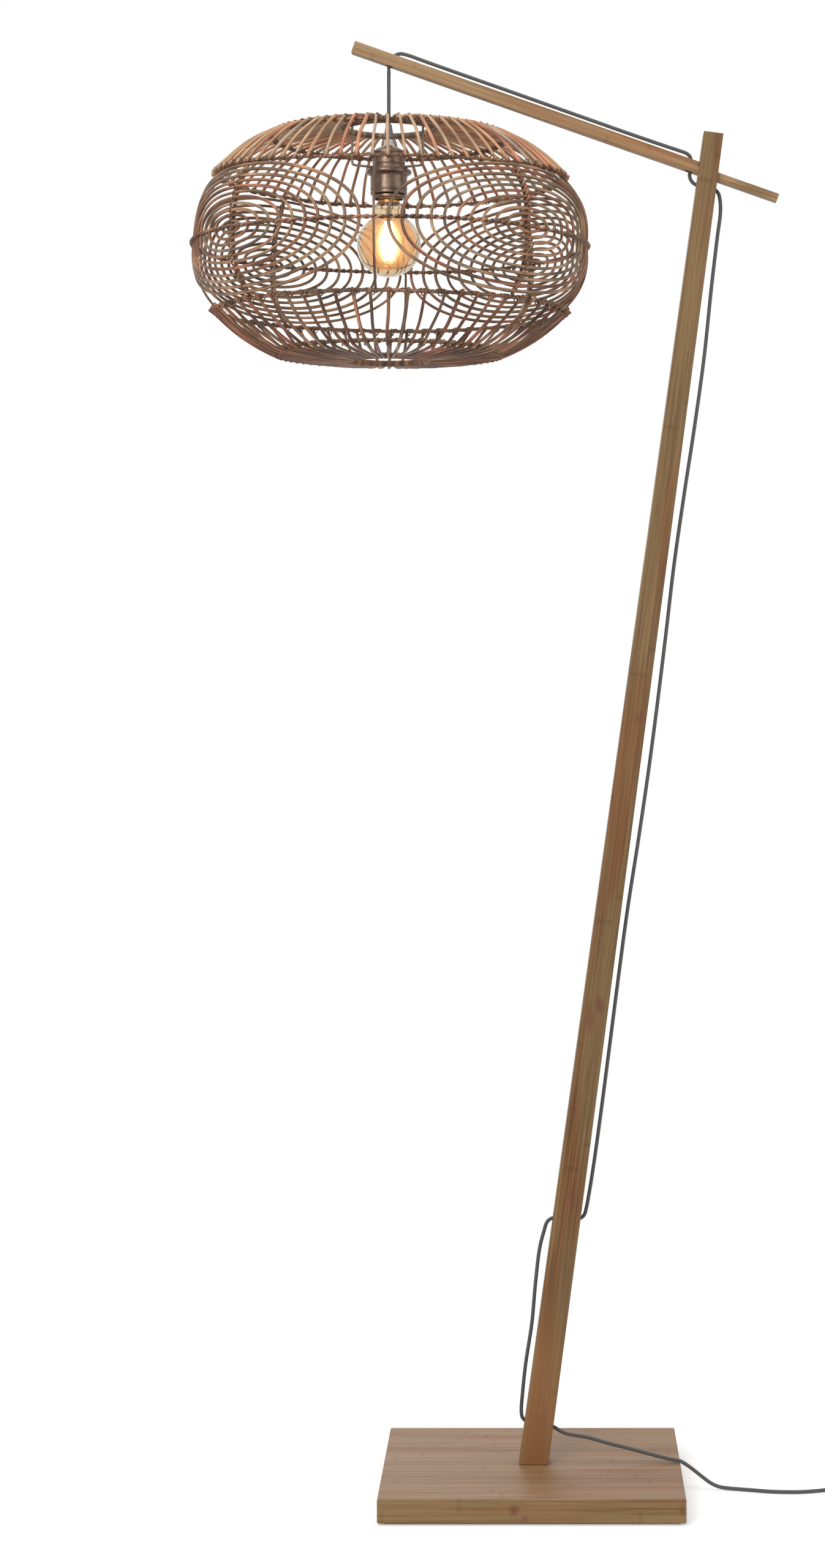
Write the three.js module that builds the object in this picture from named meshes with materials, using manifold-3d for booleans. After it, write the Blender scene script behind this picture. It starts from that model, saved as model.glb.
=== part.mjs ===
// Rattan floor lamp: an openwork rattan shade that hangs by its own cord from the arm of a leaning post.
// Millimetres, +Z up. The origin is the middle of the foot's underside, on the floor. +X is the side the post
// leans to, and the lamp is seen from -Y.
import * as THREE from "three";
import { mergeVertices } from "three/addons/utils/BufferGeometryUtils.js";
import Module from "manifold-3d";

const wasm = await Module();
wasm.setup();

// Fits shared by the whole lamp, and the facets of its round pieces
const seatGap = 0.3;
const overrun = 6;
const roundSides = 18;
const smallSides = 12;
const wireSides = 6;
const curveSteps = 6;
const hoopSides = 4;
const caneSides = 3;

// Base: a bamboo board on a sheet of felt
const baseWide = 370;
const baseDeep = 300;
const baseThick = 30;
const baseEase = 1.5;
const feltThick = 2;
const feltInset = 8;

// Post: square bamboo that tapers upwards and leans to the right
const postFootAt = 1.9;
const postHeadBelowHole = 116.7;
const postLean = 224.1;
const postFootWide = 36.2;
const postTopWide = 24.4;
const postDeep = 30;
const postTenonWide = 22;
const postTenonDeep = 18;
const postTenonLong = 12;

// Bolt that draws the post down on the base
const boltRadius = 4;
const boltHeadRadius = 6.5;
const boltHeadHigh = 5;
const boltSocketRadius = 2.5;
const boltSocketDeep = 3;
const boltIntoPost = 36;
const washerRadius = 10;
const washerThick = 1.6;
const boltRecessDeep = 10;

// Arm: a thinner bar through the post, with its shoulder against the post's left face
const armSlopeDegrees = 19.35;
const armTall = 15;
const armDeep = 16;
const armLong = 562;
const armTipBeyondHole = 50;
const armHoleSpacing = 396;
const armTenonTall = 10;
const armScrewRadius = 1.6;
const armScrewHeadRadius = 3.4;
const armScrewHeadHigh = 2.4;

// Cord: a round textile cord, and the holes that it is threaded through
const cordDiameter = 4.6;
const cordSides = 8;
const cordHoleRadius = 5.2;
const topHoleBelowArm = 151;
const lowHoleHeights = [336.5, 80];

// Pendant: hangs on the cord under the arm's left hole
const pendantAt = -179;
const armHoleHeight = 1774.5;
const bendBelowArm = 2.1;
const coneTopHeight = 1702;
const coneHigh = 18;
const coneTopRadius = 3.9;
const coneFootRadius = 6.6;
const gripHigh = 9;
const gripRadius = 5.6;
const holderRadius = 20.5;
const holderWall = 1.6;
const capDomeHigh = 11;
const capSideHigh = 17;
const bodyRadius = 19.4;
const bodyWall = 1.8;
const bodyInCap = 9;
const bodyHigh = 47;
const ringFlangeRadius = 28.5;
const ringFlangeThick = 4.6;
const ringSkirtRadius = 23;
const ringSkirtHigh = 26;
const insertFloor = 4;
const contactRadius = 4;
const contactHigh = 3;
const screwShellWall = 0.5;
const screwShellHigh = 24;
const gripNeckShare = 0.8;
const domeShares = [30, 56].map((degrees) => THREE.MathUtils.degToRad(degrees));

// Bulb: a clear globe on an Edison cap
const bulbRadius = 40;
const bulbCentreHeight = 1551.5;
const bulbNeckRadius = 17.4;
const bulbArcSteps = 6;
const glassWall = 0.9;
const capRadius = 13.2;
const capWall = 0.6;
const capHigh = 27;
const capRimHigh = 3;
const capFootHeight = 1603.6;
const neckInCap = 6;
const tipRadius = 5;
const tipTopShare = 0.7;
const tipHigh = 3.4;
const stemRadius = 4.2;
const stemTipRadius = 2;
const stemTaperShare = 0.35;
const filamentTopHeight = 1581;
const filamentFootHeight = 1533;
const filamentRadius = 1.2;
const filamentRingRadius = 8;
const filamentTopRingRadius = 6;
const filamentCount = 4;
const filamentWire = 0.8;

// Spider: the wire carrier between the lamp holder and the shade
const spiderRingRadius = 25;
const spiderRingThick = 1.5;
const spiderArms = 3;
const spiderTurnDegrees = 90;
const spiderWire = 1.5;

// Shade: hoops, radial strands above and below, and four nets of concentric ovals round the waist
const shadeRadius = 250;
const hoopWire = 2.6;
const strandWire = 2.1;
const ovalWire = 1.9;
const waistWire = 1.8;
const ribWire = 3.1;
const sideRibWire = 1.5;
const topOpeningRadius = 55;
const topOpeningHeight = 1697.5;
const shoulderSetIn = 35;
const topHoopSetIn = 70;
const bottomHoopSetIn = 75;
const topHoopHeight = 1683;
const upperShoulderHeight = 1630;
const waistHeight = 1550;
const lowerShoulderHeight = 1468;
const bottomHoopHeight = 1417.5;
const bottomOpeningRadius = 50;
const bottomOpeningHeight = 1408.5;
const openingWire = 3.6;
const hoopSteps = 48;
const upperStrandTip = 4.5;
const lowerStrandTip = 8;
const upperStrandCount = 72;
const lowerStrandCount = 64;
const wallPower = 2.6;
const motifTurns = [-44.8, 44, 132.8, 221.7].map((degrees) => THREE.MathUtils.degToRad(degrees));
const ovalSteps = [6, 8, 8, 8, 10, 10, 12, 14, 14, 16, 18];
const netShare = 0.95;
const ovalPitchUp = 6.85;
const ovalRoundness = 2.25;
const ovalEvening = 0.22;
const ribBite = 1.1;
const ribStub = 2;
const ribHeightShares = [0.08, 0.22, 0.36, 0.5, 0.64, 0.78, 0.92];

// Foot switch on the cord, beyond the view to the right
const switchAt = [462, -13];
const switchLong = 76;
const switchWide = 36;
const switchBaseHigh = 9;
const switchCoverHigh = 12;
const switchWall = 2;
const switchCrown = 3;
const buttonRadius = 12;
const buttonFlangeRadius = 14;
const buttonFlangeThick = 2;
const buttonProud = 4;
const reliefLong = 24;
const reliefRootRadius = 5;
const reliefTipRadius = 3.6;
const switchScrewRadius = 2.4;
const switchScrewHigh = 5;

// Coil of the cord's spare length
const coilAt = 562;
const coilOuterRadius = 32.6;
const coilTurnPitch = 5.2;
const coilLayerRise = 5.2;
const coilTurns = 4.5;
const coilStepsPerTurn = 24;
const coilSides = 6;

// Plug: a flat two-pin plug
const plugBodyLong = 38;
const plugBodyWide = 34;
const plugBodyThick = 13.6;
const plugNoseWide = 26;
const pinRadius = 2;
const pinLong = 19;
const pinSpacing = 18.6;
const pinRooted = 5;

// Colours
const bamboo = 0xa88458;
const bambooDark = 0x8f6f47;
const rattan = 0x9a7350;
const rattanDark = 0x7d5a3e;
const bronze = 0x6e5f50;
const steel = 0xa8a8a8;
const cordGrey = 0x646464;
const plasticWhite = 0xe8e6e0;
const plasticBlack = 0x2a2a2a;
const brass = 0xb59a5c;
const glassAmber = 0xe8c890;
const glow = 0xffd890;

// Sizes that follow from the ones above
const cordRadius = cordDiameter / 2;
const baseUnder = feltThick + seatGap;
const baseTop = baseUnder + baseThick;
const postFoot = baseTop + seatGap;
const postRise = armHoleHeight - postHeadBelowHole;
const leanAngle = Math.atan2(postLean, postRise);
const slope = THREE.MathUtils.degToRad(armSlopeDegrees);
const armHoleAt = pendantAt + seatGap + seatGap;
const postHoleHeights = [armHoleHeight - topHoleBelowArm, ...lowHoleHeights];
const pivotHeight = armHoleHeight - bendBelowArm;
const gripTop = coneTopHeight - coneHigh;
const capTop = gripTop - gripHigh;
const capFoot = capTop - capDomeHigh - capSideHigh;
const bodyTop = capFoot + bodyInCap;
const spiderTop = capFoot - seatGap;
const ringTop = spiderTop - spiderRingThick - seatGap;
const shoulderRadius = shadeRadius - shoulderSetIn;
const topHoopRadius = shoulderRadius - topHoopSetIn;
const bottomHoopRadius = shoulderRadius - bottomHoopSetIn;
const waistHoopRadius = shadeRadius - waistWire;
const waistHoopInside = waistHoopRadius * Math.cos(Math.PI / hoopSteps) - waistWire;
const wallMiddleRadius = waistHoopInside - seatGap - ovalWire;
const netHalfLong = (Math.PI * wallMiddleRadius * netShare) / motifTurns.length;
const ovalPitchAlong = netHalfLong / ovalSteps.length;
const floorCord = cordRadius + seatGap;
const coilEntry = coilAt - cordDiameter - seatGap;
const plugCordAt = switchAt[1] + 2 * coilOuterRadius;
const boltTop = baseTop - postTenonLong + boltIntoPost;
const bodyInside = bodyRadius - bodyWall;
const capInside = holderRadius - holderWall;
const tipTop = capFootHeight + capHigh + seatGap + tipHigh;
const shellInside = capRadius + seatGap;
const shellRadius = shellInside + screwShellWall;

const lamp = new THREE.Group();
const finishes = new Map();

// One material for each colour and gloss
function finish(color, roughness, metalness = 0) {
  const key = [color, roughness, metalness].join();
  if (!finishes.has(key)) finishes.set(key, new THREE.MeshStandardMaterial({ color, roughness, metalness }));
  return finishes.get(key);
}

// Names a geometry or a solid as one node of the lamp
function node(name, shape, material) {
  const geometry = shape.isBufferGeometry ? shape : geometryOf(shape);
  const mesh = new THREE.Mesh(geometry, material);
  mesh.name = name;
  lamp.add(mesh);
  return mesh;
}

function solid(geometry) {
  const bare = geometry.clone();
  bare.deleteAttribute("normal");
  bare.deleteAttribute("uv");
  const merged = mergeVertices(bare);
  const vertProperties = merged.attributes.position.array;
  const triVerts = new Uint32Array(merged.index.array);
  return new wasm.Manifold(new wasm.Mesh({ numProp: 3, vertProperties, triVerts }));
}

function geometryOf(body) {
  const mesh = body.getMesh();
  const geometry = new THREE.BufferGeometry();
  geometry.setAttribute("position", new THREE.BufferAttribute(mesh.vertProperties, 3));
  geometry.setIndex(new THREE.BufferAttribute(mesh.triVerts, 1));
  return geometry;
}

const joined = (shapes) => shapes.map(solid).reduce((sum, next) => sum.add(next));
const cut = (body, cutters) => cutters.map(solid).reduce((rest, next) => rest.subtract(next), body);

// A box by its middle and its sizes along X, Y and Z
function box(middle, sizes) {
  return new THREE.BoxGeometry(...sizes).translate(...middle);
}

// A round bar from one point to another
function bar(from, to, radius, sides, farRadius = radius) {
  const start = new THREE.Vector3(...from);
  const along = new THREE.Vector3(...to).sub(start);
  const upright = new THREE.Vector3(0, 1, 0);
  const turn = new THREE.Quaternion().setFromUnitVectors(upright, along.clone().normalize());
  return new THREE.CylinderGeometry(farRadius, radius, along.length(), sides)
    .applyQuaternion(turn)
    .translate(...start.addScaledVector(along, 1 / 2).toArray());
}

// A wire from point to point, longer by half its own radius at each end to lap into its neighbour
function lappedBar(from, to, radius) {
  const lap = to.clone().sub(from).setLength(radius / 2);
  return bar(from.clone().sub(lap).toArray(), to.clone().add(lap).toArray(), radius, 6);
}

// An outline in the X-Z plane, given a depth along Y
function slab(outline, deep) {
  const shape = new THREE.Shape(outline.map(([x, z]) => new THREE.Vector2(x, z)));
  return new THREE.ExtrudeGeometry(shape, { depth: deep, bevelEnabled: false })
    .rotateX(Math.PI / 2)
    .translate(0, deep / 2, 0);
}

// A profile of radius and height, turned round the pendant's axis
function turned(profile, sides) {
  const points = profile.map(([r, z]) => new THREE.Vector2(r, z));
  const geometry = new THREE.LatheGeometry(points, sides).rotateX(Math.PI / 2).translate(pendantAt, 0, 0);
  return facingOut(geometry);
}

// Turns the faces of a closed geometry round if they look inwards
function facingOut(geometry) {
  if (solid(geometry).volume() < 0) geometry.setIndex(Array.from(geometry.index.array).reverse());
  return geometry;
}

// A tube of few sides along a list of points, mitred at its bends. Its rings keep an edge, or with a twist a
// face, turned away from the pendant's axis.
function strand(points, radius, sides, closed = false, twist = 0) {
  const count = points.length;
  const neighbour = (i) => points[closed ? (i + count) % count : THREE.MathUtils.clamp(i, 0, count - 1)];
  const rings = points.map((point, i) => {
    const arriving = point.clone().sub(neighbour(i - 1)).normalize();
    const leaving = neighbour(i + 1).clone().sub(point).normalize();
    const along = arriving.clone().add(leaving).normalize();
    const bend = leaving.clone().sub(arriving).projectOnPlane(along).normalize();
    const ends = !closed && (i === 0 || i === count - 1);
    const stretch = ends ? 0 : 1 / along.dot(leaving) - 1;
    const side = along.clone().cross(new THREE.Vector3(point.x - pendantAt, point.y, 0)).normalize();
    const out = side.clone().cross(along);
    return Array.from({ length: sides }, (_, k) => {
      const angle = (2 * Math.PI * (k + twist)) / sides;
      const spoke = out.clone().multiplyScalar(Math.cos(angle)).addScaledVector(side, Math.sin(angle));
      spoke.addScaledVector(bend, spoke.dot(bend) * stretch);
      return point.clone().addScaledVector(spoke, radius);
    });
  });
  return ringsToTube(rings, closed);
}

function ringsToTube(rings, closed) {
  const sides = rings[0].length;
  const count = rings.length;
  const faces = [];
  for (let i = 0; i < (closed ? count : count - 1); i++) {
    const j = (i + 1) % count;
    for (let k = 0; k < sides; k++) {
      const m = (k + 1) % sides;
      faces.push(i * sides + k, j * sides + k, j * sides + m, i * sides + k, j * sides + m, i * sides + m);
    }
  }
  if (!closed) {
    const last = (count - 1) * sides;
    for (let k = 1; k + 1 < sides; k++) faces.push(0, k, k + 1, last, last + k + 1, last + k);
  }
  const geometry = new THREE.BufferGeometry().setFromPoints(rings.flat());
  geometry.setIndex(faces);
  return facingOut(geometry);
}

// A point at a radius, an angle round the pendant's axis and a height
function around(radius, angle, height) {
  return new THREE.Vector3(pendantAt + radius * Math.cos(angle), radius * Math.sin(angle), height);
}

function hoop(radius, height, wire, steps, twist = 0) {
  const points = Array.from({ length: steps }, (_, i) => around(radius, (2 * Math.PI * i) / steps, height));
  return strand(points, wire, hoopSides, true, twist);
}

// Points of the arm: along it from the left hole, and up from its underside
const armAlong = new THREE.Vector2(Math.cos(slope), -Math.sin(slope));
const armUp = new THREE.Vector2(Math.sin(slope), Math.cos(slope));
function onArm(along, up) {
  const x = armHoleAt + along * armAlong.x + up * armUp.x;
  return [x, armHoleHeight + along * armAlong.y + up * armUp.y];
}

// Points of the post: up from the base's top along its axis, and across it
const postUp = new THREE.Vector2(Math.sin(leanAngle), Math.cos(leanAngle));
function onPost(up, across) {
  return [
    postFootAt + up * postUp.x + across * postUp.y,
    baseTop + up * postUp.y - across * postUp.x,
  ];
}
const postLong = Math.hypot(postRise, postLean);
const postHalfAt = (up) => (postFootWide + ((postTopWide - postFootWide) * up) / postLong) / 2;

function addBase() {
  const felt = [baseWide - 2 * feltInset, baseDeep - 2 * feltInset, feltThick];
  node("base_felt", box([0, 0, feltThick / 2], felt), finish(plasticBlack, 1));
  const inner = new THREE.Shape();
  const [halfWide, halfDeep] = [baseWide / 2 - baseEase, baseDeep / 2 - baseEase];
  inner.moveTo(-halfWide, -halfDeep).lineTo(halfWide, -halfDeep).lineTo(halfWide, halfDeep);
  inner.lineTo(-halfWide, halfDeep).closePath();
  const board = new THREE.ExtrudeGeometry(inner, {
    depth: baseThick - 2 * baseEase,
    bevelThickness: baseEase,
    bevelSize: baseEase,
    bevelSegments: 1,
  }).translate(0, 0, baseUnder + baseEase);
  const recessTop = baseUnder + boltRecessDeep;
  node(
    "base_plate",
    cut(solid(board), [
      box([postFootAt, 0, baseTop], grown([postTenonWide, postTenonDeep, 2 * postTenonLong], seatGap)),
      bar([postFootAt, 0, -overrun], [postFootAt, 0, recessTop], washerRadius + seatGap, roundSides),
      bar([postFootAt, 0, 0], [postFootAt, 0, baseTop], boltRadius + seatGap, smallSides),
    ]),
    finish(bamboo, 0.55),
  );
  addBolt(recessTop - seatGap);
}

function addBolt(washerTop) {
  const upright = (from, to, radius, sides) => bar([postFootAt, 0, from], [postFootAt, 0, to], radius, sides);
  const washerFoot = washerTop - washerThick;
  const ring = upright(washerFoot, washerTop, washerRadius, roundSides);
  const eye = upright(0, baseTop, boltRadius + seatGap, smallSides);
  node("post_washer", cut(solid(ring), [eye]), finish(steel, 0.35, 0.9));
  const headTop = washerFoot - seatGap;
  const headFoot = headTop - boltHeadHigh;
  const head = upright(headFoot, headTop, boltHeadRadius, smallSides);
  const shank = upright(headFoot + boltSocketDeep, boltTop, boltRadius, smallSides);
  const socket = upright(0, headFoot + boltSocketDeep, boltSocketRadius, wireSides);
  node("post_bolt", cut(joined([head, shank]), [socket]), finish(steel, 0.35, 0.9));
}

const grown = (sizes, gap) => sizes.map((size) => size + 2 * gap);

function postCordHoles() {
  return postHoleHeights.map((height) => {
    const up = (height - baseTop) / postUp.y;
    const reach = postFootWide / 2 + overrun;
    const [[x0, z0], [x1, z1]] = [onPost(up, -reach), onPost(up, reach)];
    return bar([x0, 0, z0], [x1, 0, z1], cordHoleRadius, smallSides);
  });
}

function addPost() {
  const outline = [
    onPost(-overrun, -postHalfAt(-overrun)),
    onPost(-overrun, postHalfAt(-overrun)),
    onPost(postLong, postHalfAt(postLong)),
    onPost(postLong, -postHalfAt(postLong)),
  ];
  const under = box([postFootAt, 0, postFoot - baseThick], [baseWide, baseDeep, 2 * baseThick]);
  const tenonFoot = baseTop - postTenonLong;
  const tenonHigh = postFoot + overrun - tenonFoot;
  const tenon = box([postFootAt, 0, tenonFoot + tenonHigh / 2], [postTenonWide, postTenonDeep, tenonHigh]);
  const body = cut(solid(slab(outline, postDeep)), [under]).add(solid(tenon));
  const boltEnd = [postFootAt, 0, boltTop + seatGap];
  const boltHole = bar([postFootAt, 0, 0], boltEnd, boltRadius + seatGap, smallSides);
  const mortiseFrom = shoulderAlong() - overrun;
  const mortise = slab(
    [
      onArm(mortiseFrom, -seatGap),
      onArm(armLong, -seatGap),
      onArm(armLong, armTenonTall + seatGap),
      onArm(mortiseFrom, armTenonTall + seatGap),
    ],
    armDeep + 2 * seatGap,
  );
  const post = cut(body, [boltHole, mortise, ...postCordHoles(), ...armScrewCutters()]);
  node("post", post, finish(bambooDark, 0.5));
}

// Where the arm's top edge reaches the post's left face
function shoulderAlong() {
  const [x, z] = onArm(0, armTenonTall);
  const [footX, footZ] = onPost(0, -postFootWide / 2);
  const [topX, topZ] = onPost(postLong, -postTopWide / 2);
  const [faceX, faceZ] = [topX - footX, topZ - footZ];
  const turn = armAlong.x * faceZ - armAlong.y * faceX;
  return ((footX - x) * faceZ - (footZ - z) * faceX) / turn;
}

const armScrewAlong = () => shoulderAlong() + postTopWide / 2;

function armScrewCutters() {
  const [x, z] = onArm(armScrewAlong(), armTenonTall / 2);
  const back = postDeep / 2;
  const [seat, outside] = [back - armScrewHeadHigh - seatGap, back + overrun];
  return [
    bar([x, 0, z], [x, outside, z], armScrewRadius + seatGap, wireSides),
    bar([x, seat, z], [x, outside, z], armScrewHeadRadius + seatGap, smallSides),
  ];
}

function addArm() {
  const shoulder = shoulderAlong() - seatGap;
  const armEnd = armLong - armTipBeyondHole;
  const outline = [
    onArm(-armTipBeyondHole, 0),
    onArm(armEnd, 0),
    onArm(armEnd, armTenonTall),
    onArm(shoulder, armTenonTall),
    onArm(shoulder - (armTall - armTenonTall) * Math.tan(slope - leanAngle), armTall),
    onArm(-armTipBeyondHole, armTall),
  ];
  const holes = [0, armHoleSpacing].map((along) => {
    const [[x0, z0], [x1, z1]] = [onArm(along, -overrun), onArm(along, armTall + overrun)];
    return bar([x0, 0, z0], [x1, 0, z1], cordHoleRadius, smallSides);
  });
  const [x, z] = onArm(armScrewAlong(), armTenonTall / 2);
  const pilot = bar([x, 0, z], [x, armDeep, z], armScrewRadius + seatGap, wireSides);
  node("arm", cut(solid(slab(outline, armDeep)), [...holes, pilot]), finish(bamboo, 0.5));
  const back = postDeep / 2;
  const shank = bar([x, seatGap, z], [x, back - seatGap, z], armScrewRadius, wireSides);
  const head = bar([x, back - armScrewHeadHigh, z], [x, back, z], armScrewHeadRadius, smallSides);
  node("arm_screw", joined([shank, head]), finish(steel, 0.35, 0.9));
}

// A cord's route is spaced by its own points, so that its bends get short steps and its long runs long ones
class Route extends THREE.CatmullRomCurve3 {
  getPointAt(share, target) {
    return this.getPoint(share, target);
  }

  getTangentAt(share, target) {
    return this.getTangent(share, target);
  }
}

function cordTube(points) {
  const route = new Route(points.map((point) => new THREE.Vector3(...point)), false, "centripetal");
  const section = new THREE.Shape(
    Array.from({ length: cordSides }, (_, k) => {
      const angle = (2 * Math.PI * (k + 1 / 2)) / cordSides;
      return new THREE.Vector2(cordRadius * Math.cos(angle), cordRadius * Math.sin(angle));
    }),
  );
  const along = { steps: points.length - 1, extrudePath: route, bevelEnabled: false };
  return new THREE.ExtrudeGeometry(section, along);
}

// Out of the arm's left hole, along the arm, down its right hole and into the post
const overArmRoute = [
  [-178.8, 0, 1775.6], [-174, 0, 1785.3], [-169.7, 0, 1789.2], [-164.1, 0, 1790.5], [-153.9, 0, 1788.3],
  [-134.5, 0, 1781.3], [-96.3, 0, 1767.7], [-25, 0, 1742.6], [56.6, 0, 1713.7], [126.9, 0, 1688.9],
  [164.2, 0, 1676.1], [183.3, 0, 1669.7], [192.9, 0, 1666.1], [196.9, 0, 1662.3], [198.5, 0, 1657],
  [197.5, 0, 1646.7], [196.7, 0, 1637.4], [199.1, 0, 1631.4], [204.8, 0, 1626.7], [216.9, 0, 1623.8],
];
// Out of the post's right face, down beside it and back in
const besidePostRoute = [
  [217.2, 0, 1623.7], [227.6, 0, 1621.1], [232.3, 0, 1616.6], [234.6, 0, 1608.6], [235.2, 0, 1592.5],
  [231.3, 0, 1561], [224, 0, 1498.9], [214.9, 0, 1412.2], [203, 0, 1325.8], [189.8, 0, 1239.5],
  [177.4, 0, 1153.2], [167.2, 0, 1066.6], [156.6, 0, 980.1], [145.2, 0, 893.6], [132.5, 0, 807.3],
  [119.1, 0, 721.1], [107.5, 0, 634.7], [96.4, 0, 548.2], [85.1, 0, 461.7], [76.1, 0, 397.6],
  [70.8, 0, 365.2], [67.7, 0, 348.8], [65.3, 0, 340.9], [61.5, 0, 337.1], [55.7, 0, 335.2],
  [43.9, 0, 336.4],
];
// Out of the post's left face, down beside it and in again at the foot
const besideFootRoute = [
  [43.6, 0, 336.45], [29.1, 0, 337.4], [22.2, 0, 335.2], [18.2, 0, 330.9], [14.9, 0, 320.8],
  [9.6, 0, 300.2], [4.4, 0, 257.9], [-0.4, 0, 205.4], [-8.4, 0, 152.4], [-12.1, 0, 116.6],
  [-13.5, 0, 98.6], [-12.8, 0, 89.4], [-10, 0, 85], [-3.9, 0, 82], [9, 0, 80],
];
// Out of the post's foot, free over the base to its right edge, and along the floor to the switch
const toSwitchRoute = [
  [9.3, 0, 79.95], [20, 0, 78.2], [27.5, 0, 75.6], [34.5, 0, 71.2], [42, 0, 67.7], [52, 0, 65.7],
  [62.1, 0, 64.2], [75.5, -0.2, 61.2], [94.6, -0.6, 55.8], [123.3, -1.2, 48.8], [150, -1.8, 41.8],
  [168, -2.4, 37.4], [177, -3.4, 35.8], [184, -5, 34.9], [190.5, -6.8, 32], [199.2, -8.6, 26.3],
  [210.7, -10, 17.6], [222.1, -10.8, 9.3], [232, -11.2, 4.8], [243, -11.7, 3], [256, -14.6, 2.7],
  [275, -19.2, 2.65], [293, -24, 2.65], [312, -26.2, 2.65], [331, -26.2, 2.65], [350, -22.8, 2.65],
  [365, -18.6, 2.9], [379, -15, 3.9], [390, -13.2, 4.8], [399.6, -13, 5],
];

// From the switch to the coil, and from the coil to the plug
const toCoilRoute = [
  [524.4, switchAt[1], 5], [533, switchAt[1], 4.3], [545, switchAt[1], 2.9],
  [coilEntry, switchAt[1], floorCord],
];
const toPlugRoute = [
  [coilEntry, plugCordAt, floorCord + coilLayerRise], [547, plugCordAt, 7.8], [538, plugCordAt, 7.1],
  [530.3, plugCordAt, 7],
];

// The coil: it winds inwards on the floor, climbs in the half turn where it turns back, and winds out on top
function coilPoints() {
  const steps = coilTurns * coilStepsPerTurn;
  const turnBack = coilTurns / 2;
  const innerRadius = coilOuterRadius - coilTurnPitch * turnBack;
  const points = Array.from({ length: steps + 1 }, (_, i) => {
    const turn = i / coilStepsPerTurn;
    const radius = innerRadius + coilTurnPitch * Math.abs(turn - turnBack);
    const climb = THREE.MathUtils.clamp(2 * (turn - turnBack) + 1 / 2, 0, 1);
    const angle = 2 * Math.PI * turn - Math.PI / 2;
    const y = switchAt[1] + coilOuterRadius + radius * Math.sin(angle);
    return new THREE.Vector3(coilAt + radius * Math.cos(angle), y, floorCord + coilLayerRise * climb);
  });
  const straight = new THREE.Vector3(-cordDiameter, 0, 0);
  return [points[0].clone().add(straight), ...points, points.at(-1).clone().add(straight)];
}

// The least gap between turns of the coil, measured on its points
function leastCoilGap(points) {
  const apart = coilStepsPerTurn / 2;
  let least = Infinity;
  points.forEach((a, i) => {
    for (let j = i + apart; j < points.length; j++) least = Math.min(least, a.distanceTo(points[j]));
  });
  return least - cordDiameter;
}

function coilTube(points) {
  const rings = points.map((point, i) => {
    const ends = [points[Math.max(i - 1, 0)], points[Math.min(i + 1, points.length - 1)]];
    const along = ends[1].clone().sub(ends[0]).normalize();
    const side = along.clone().cross(new THREE.Vector3(0, 0, 1)).normalize();
    const up = side.clone().cross(along);
    return Array.from({ length: coilSides }, (_, k) => {
      const angle = (2 * Math.PI * (k + 1 / 2)) / coilSides;
      return point
        .clone()
        .addScaledVector(side, cordRadius * Math.cos(angle))
        .addScaledVector(up, cordRadius * Math.sin(angle));
    });
  });
  return ringsToTube(rings, false);
}

function addCords() {
  const textile = finish(cordGrey, 0.9);
  node("cord_over_arm", cordTube(overArmRoute), textile);
  node("cord_beside_post", cordTube(besidePostRoute), textile);
  node("cord_beside_foot", cordTube(besideFootRoute), textile);
  node("cord_to_switch", cordTube(toSwitchRoute), textile);
  node("cord_to_coil", cordTube(toCoilRoute), textile);
  const points = coilPoints();
  console.log("least gap between turns of the coil, mm: " + leastCoilGap(points).toFixed(2));
  node("cord_coil", coilTube(points), textile);
  node("cord_to_plug", cordTube(toPlugRoute), textile);
  const bend = new THREE.SphereGeometry(cordRadius, 10, 6).rotateX(Math.PI / 2);
  node("cord_bend", bend.translate(pendantAt, 0, pivotHeight), textile);
  const dropTop = pivotHeight - cordRadius - seatGap;
  const drop = bar([pendantAt, 0, gripTop + seatGap], [pendantAt, 0, dropTop], cordRadius, smallSides);
  node("cord_drop", drop, textile);
}

function addHolder() {
  const metal = finish(bronze, 0.35, 0.8);
  const bore = cordRadius + seatGap;
  const cone = [
    [bore, gripTop + seatGap],
    [coneFootRadius, gripTop + seatGap],
    [coneTopRadius, coneTopHeight],
    [bore, coneTopHeight],
  ];
  node("cord_cone", turned(closedProfile(cone), smallSides), finish(cordGrey, 0.7));
  const gripNeck = gripRadius * gripNeckShare;
  const grip = [
    [0, capTop - capDomeHigh / 2],
    [gripNeck, capTop - capDomeHigh / 2],
    [gripNeck, capTop + seatGap],
    [gripRadius, capTop + seatGap],
    [gripRadius, gripTop],
    [0, gripTop],
  ];
  node("cord_grip", turned(grip, smallSides), finish(plasticWhite, 0.5));
  addHolderCap(gripNeck + seatGap, metal);
  const bodyFoot = bodyTop - bodyHigh;
  const bodyRim = holderRadius;
  const body = [
    [bodyInside, bodyFoot],
    [bodyRim, bodyFoot],
    [bodyRim, ringTop - ringFlangeThick - ringSkirtHigh - seatGap],
    [bodyRadius, ringTop - ringFlangeThick - ringSkirtHigh - seatGap],
    [bodyRadius, capFoot - seatGap],
    [capInside - seatGap, capFoot - seatGap],
    [capInside - seatGap, bodyTop],
    [bodyInside, bodyTop],
  ];
  node("holder_body", turned(closedProfile(body), roundSides), metal);
  const skirtFoot = ringTop - ringFlangeThick - ringSkirtHigh;
  const ringBore = bodyRadius + seatGap;
  const lip = ringFlangeThick / 4;
  const ring = [
    [ringBore, skirtFoot],
    [ringSkirtRadius, skirtFoot],
    [ringSkirtRadius, ringTop - ringFlangeThick],
    [ringFlangeRadius - lip, ringTop - ringFlangeThick],
    [ringFlangeRadius, ringTop - ringFlangeThick + lip],
    [ringFlangeRadius, ringTop - lip],
    [ringFlangeRadius - lip, ringTop],
    [ringBore, ringTop],
  ];
  node("shade_ring", turned(closedProfile(ring), roundSides), metal);
}

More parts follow.
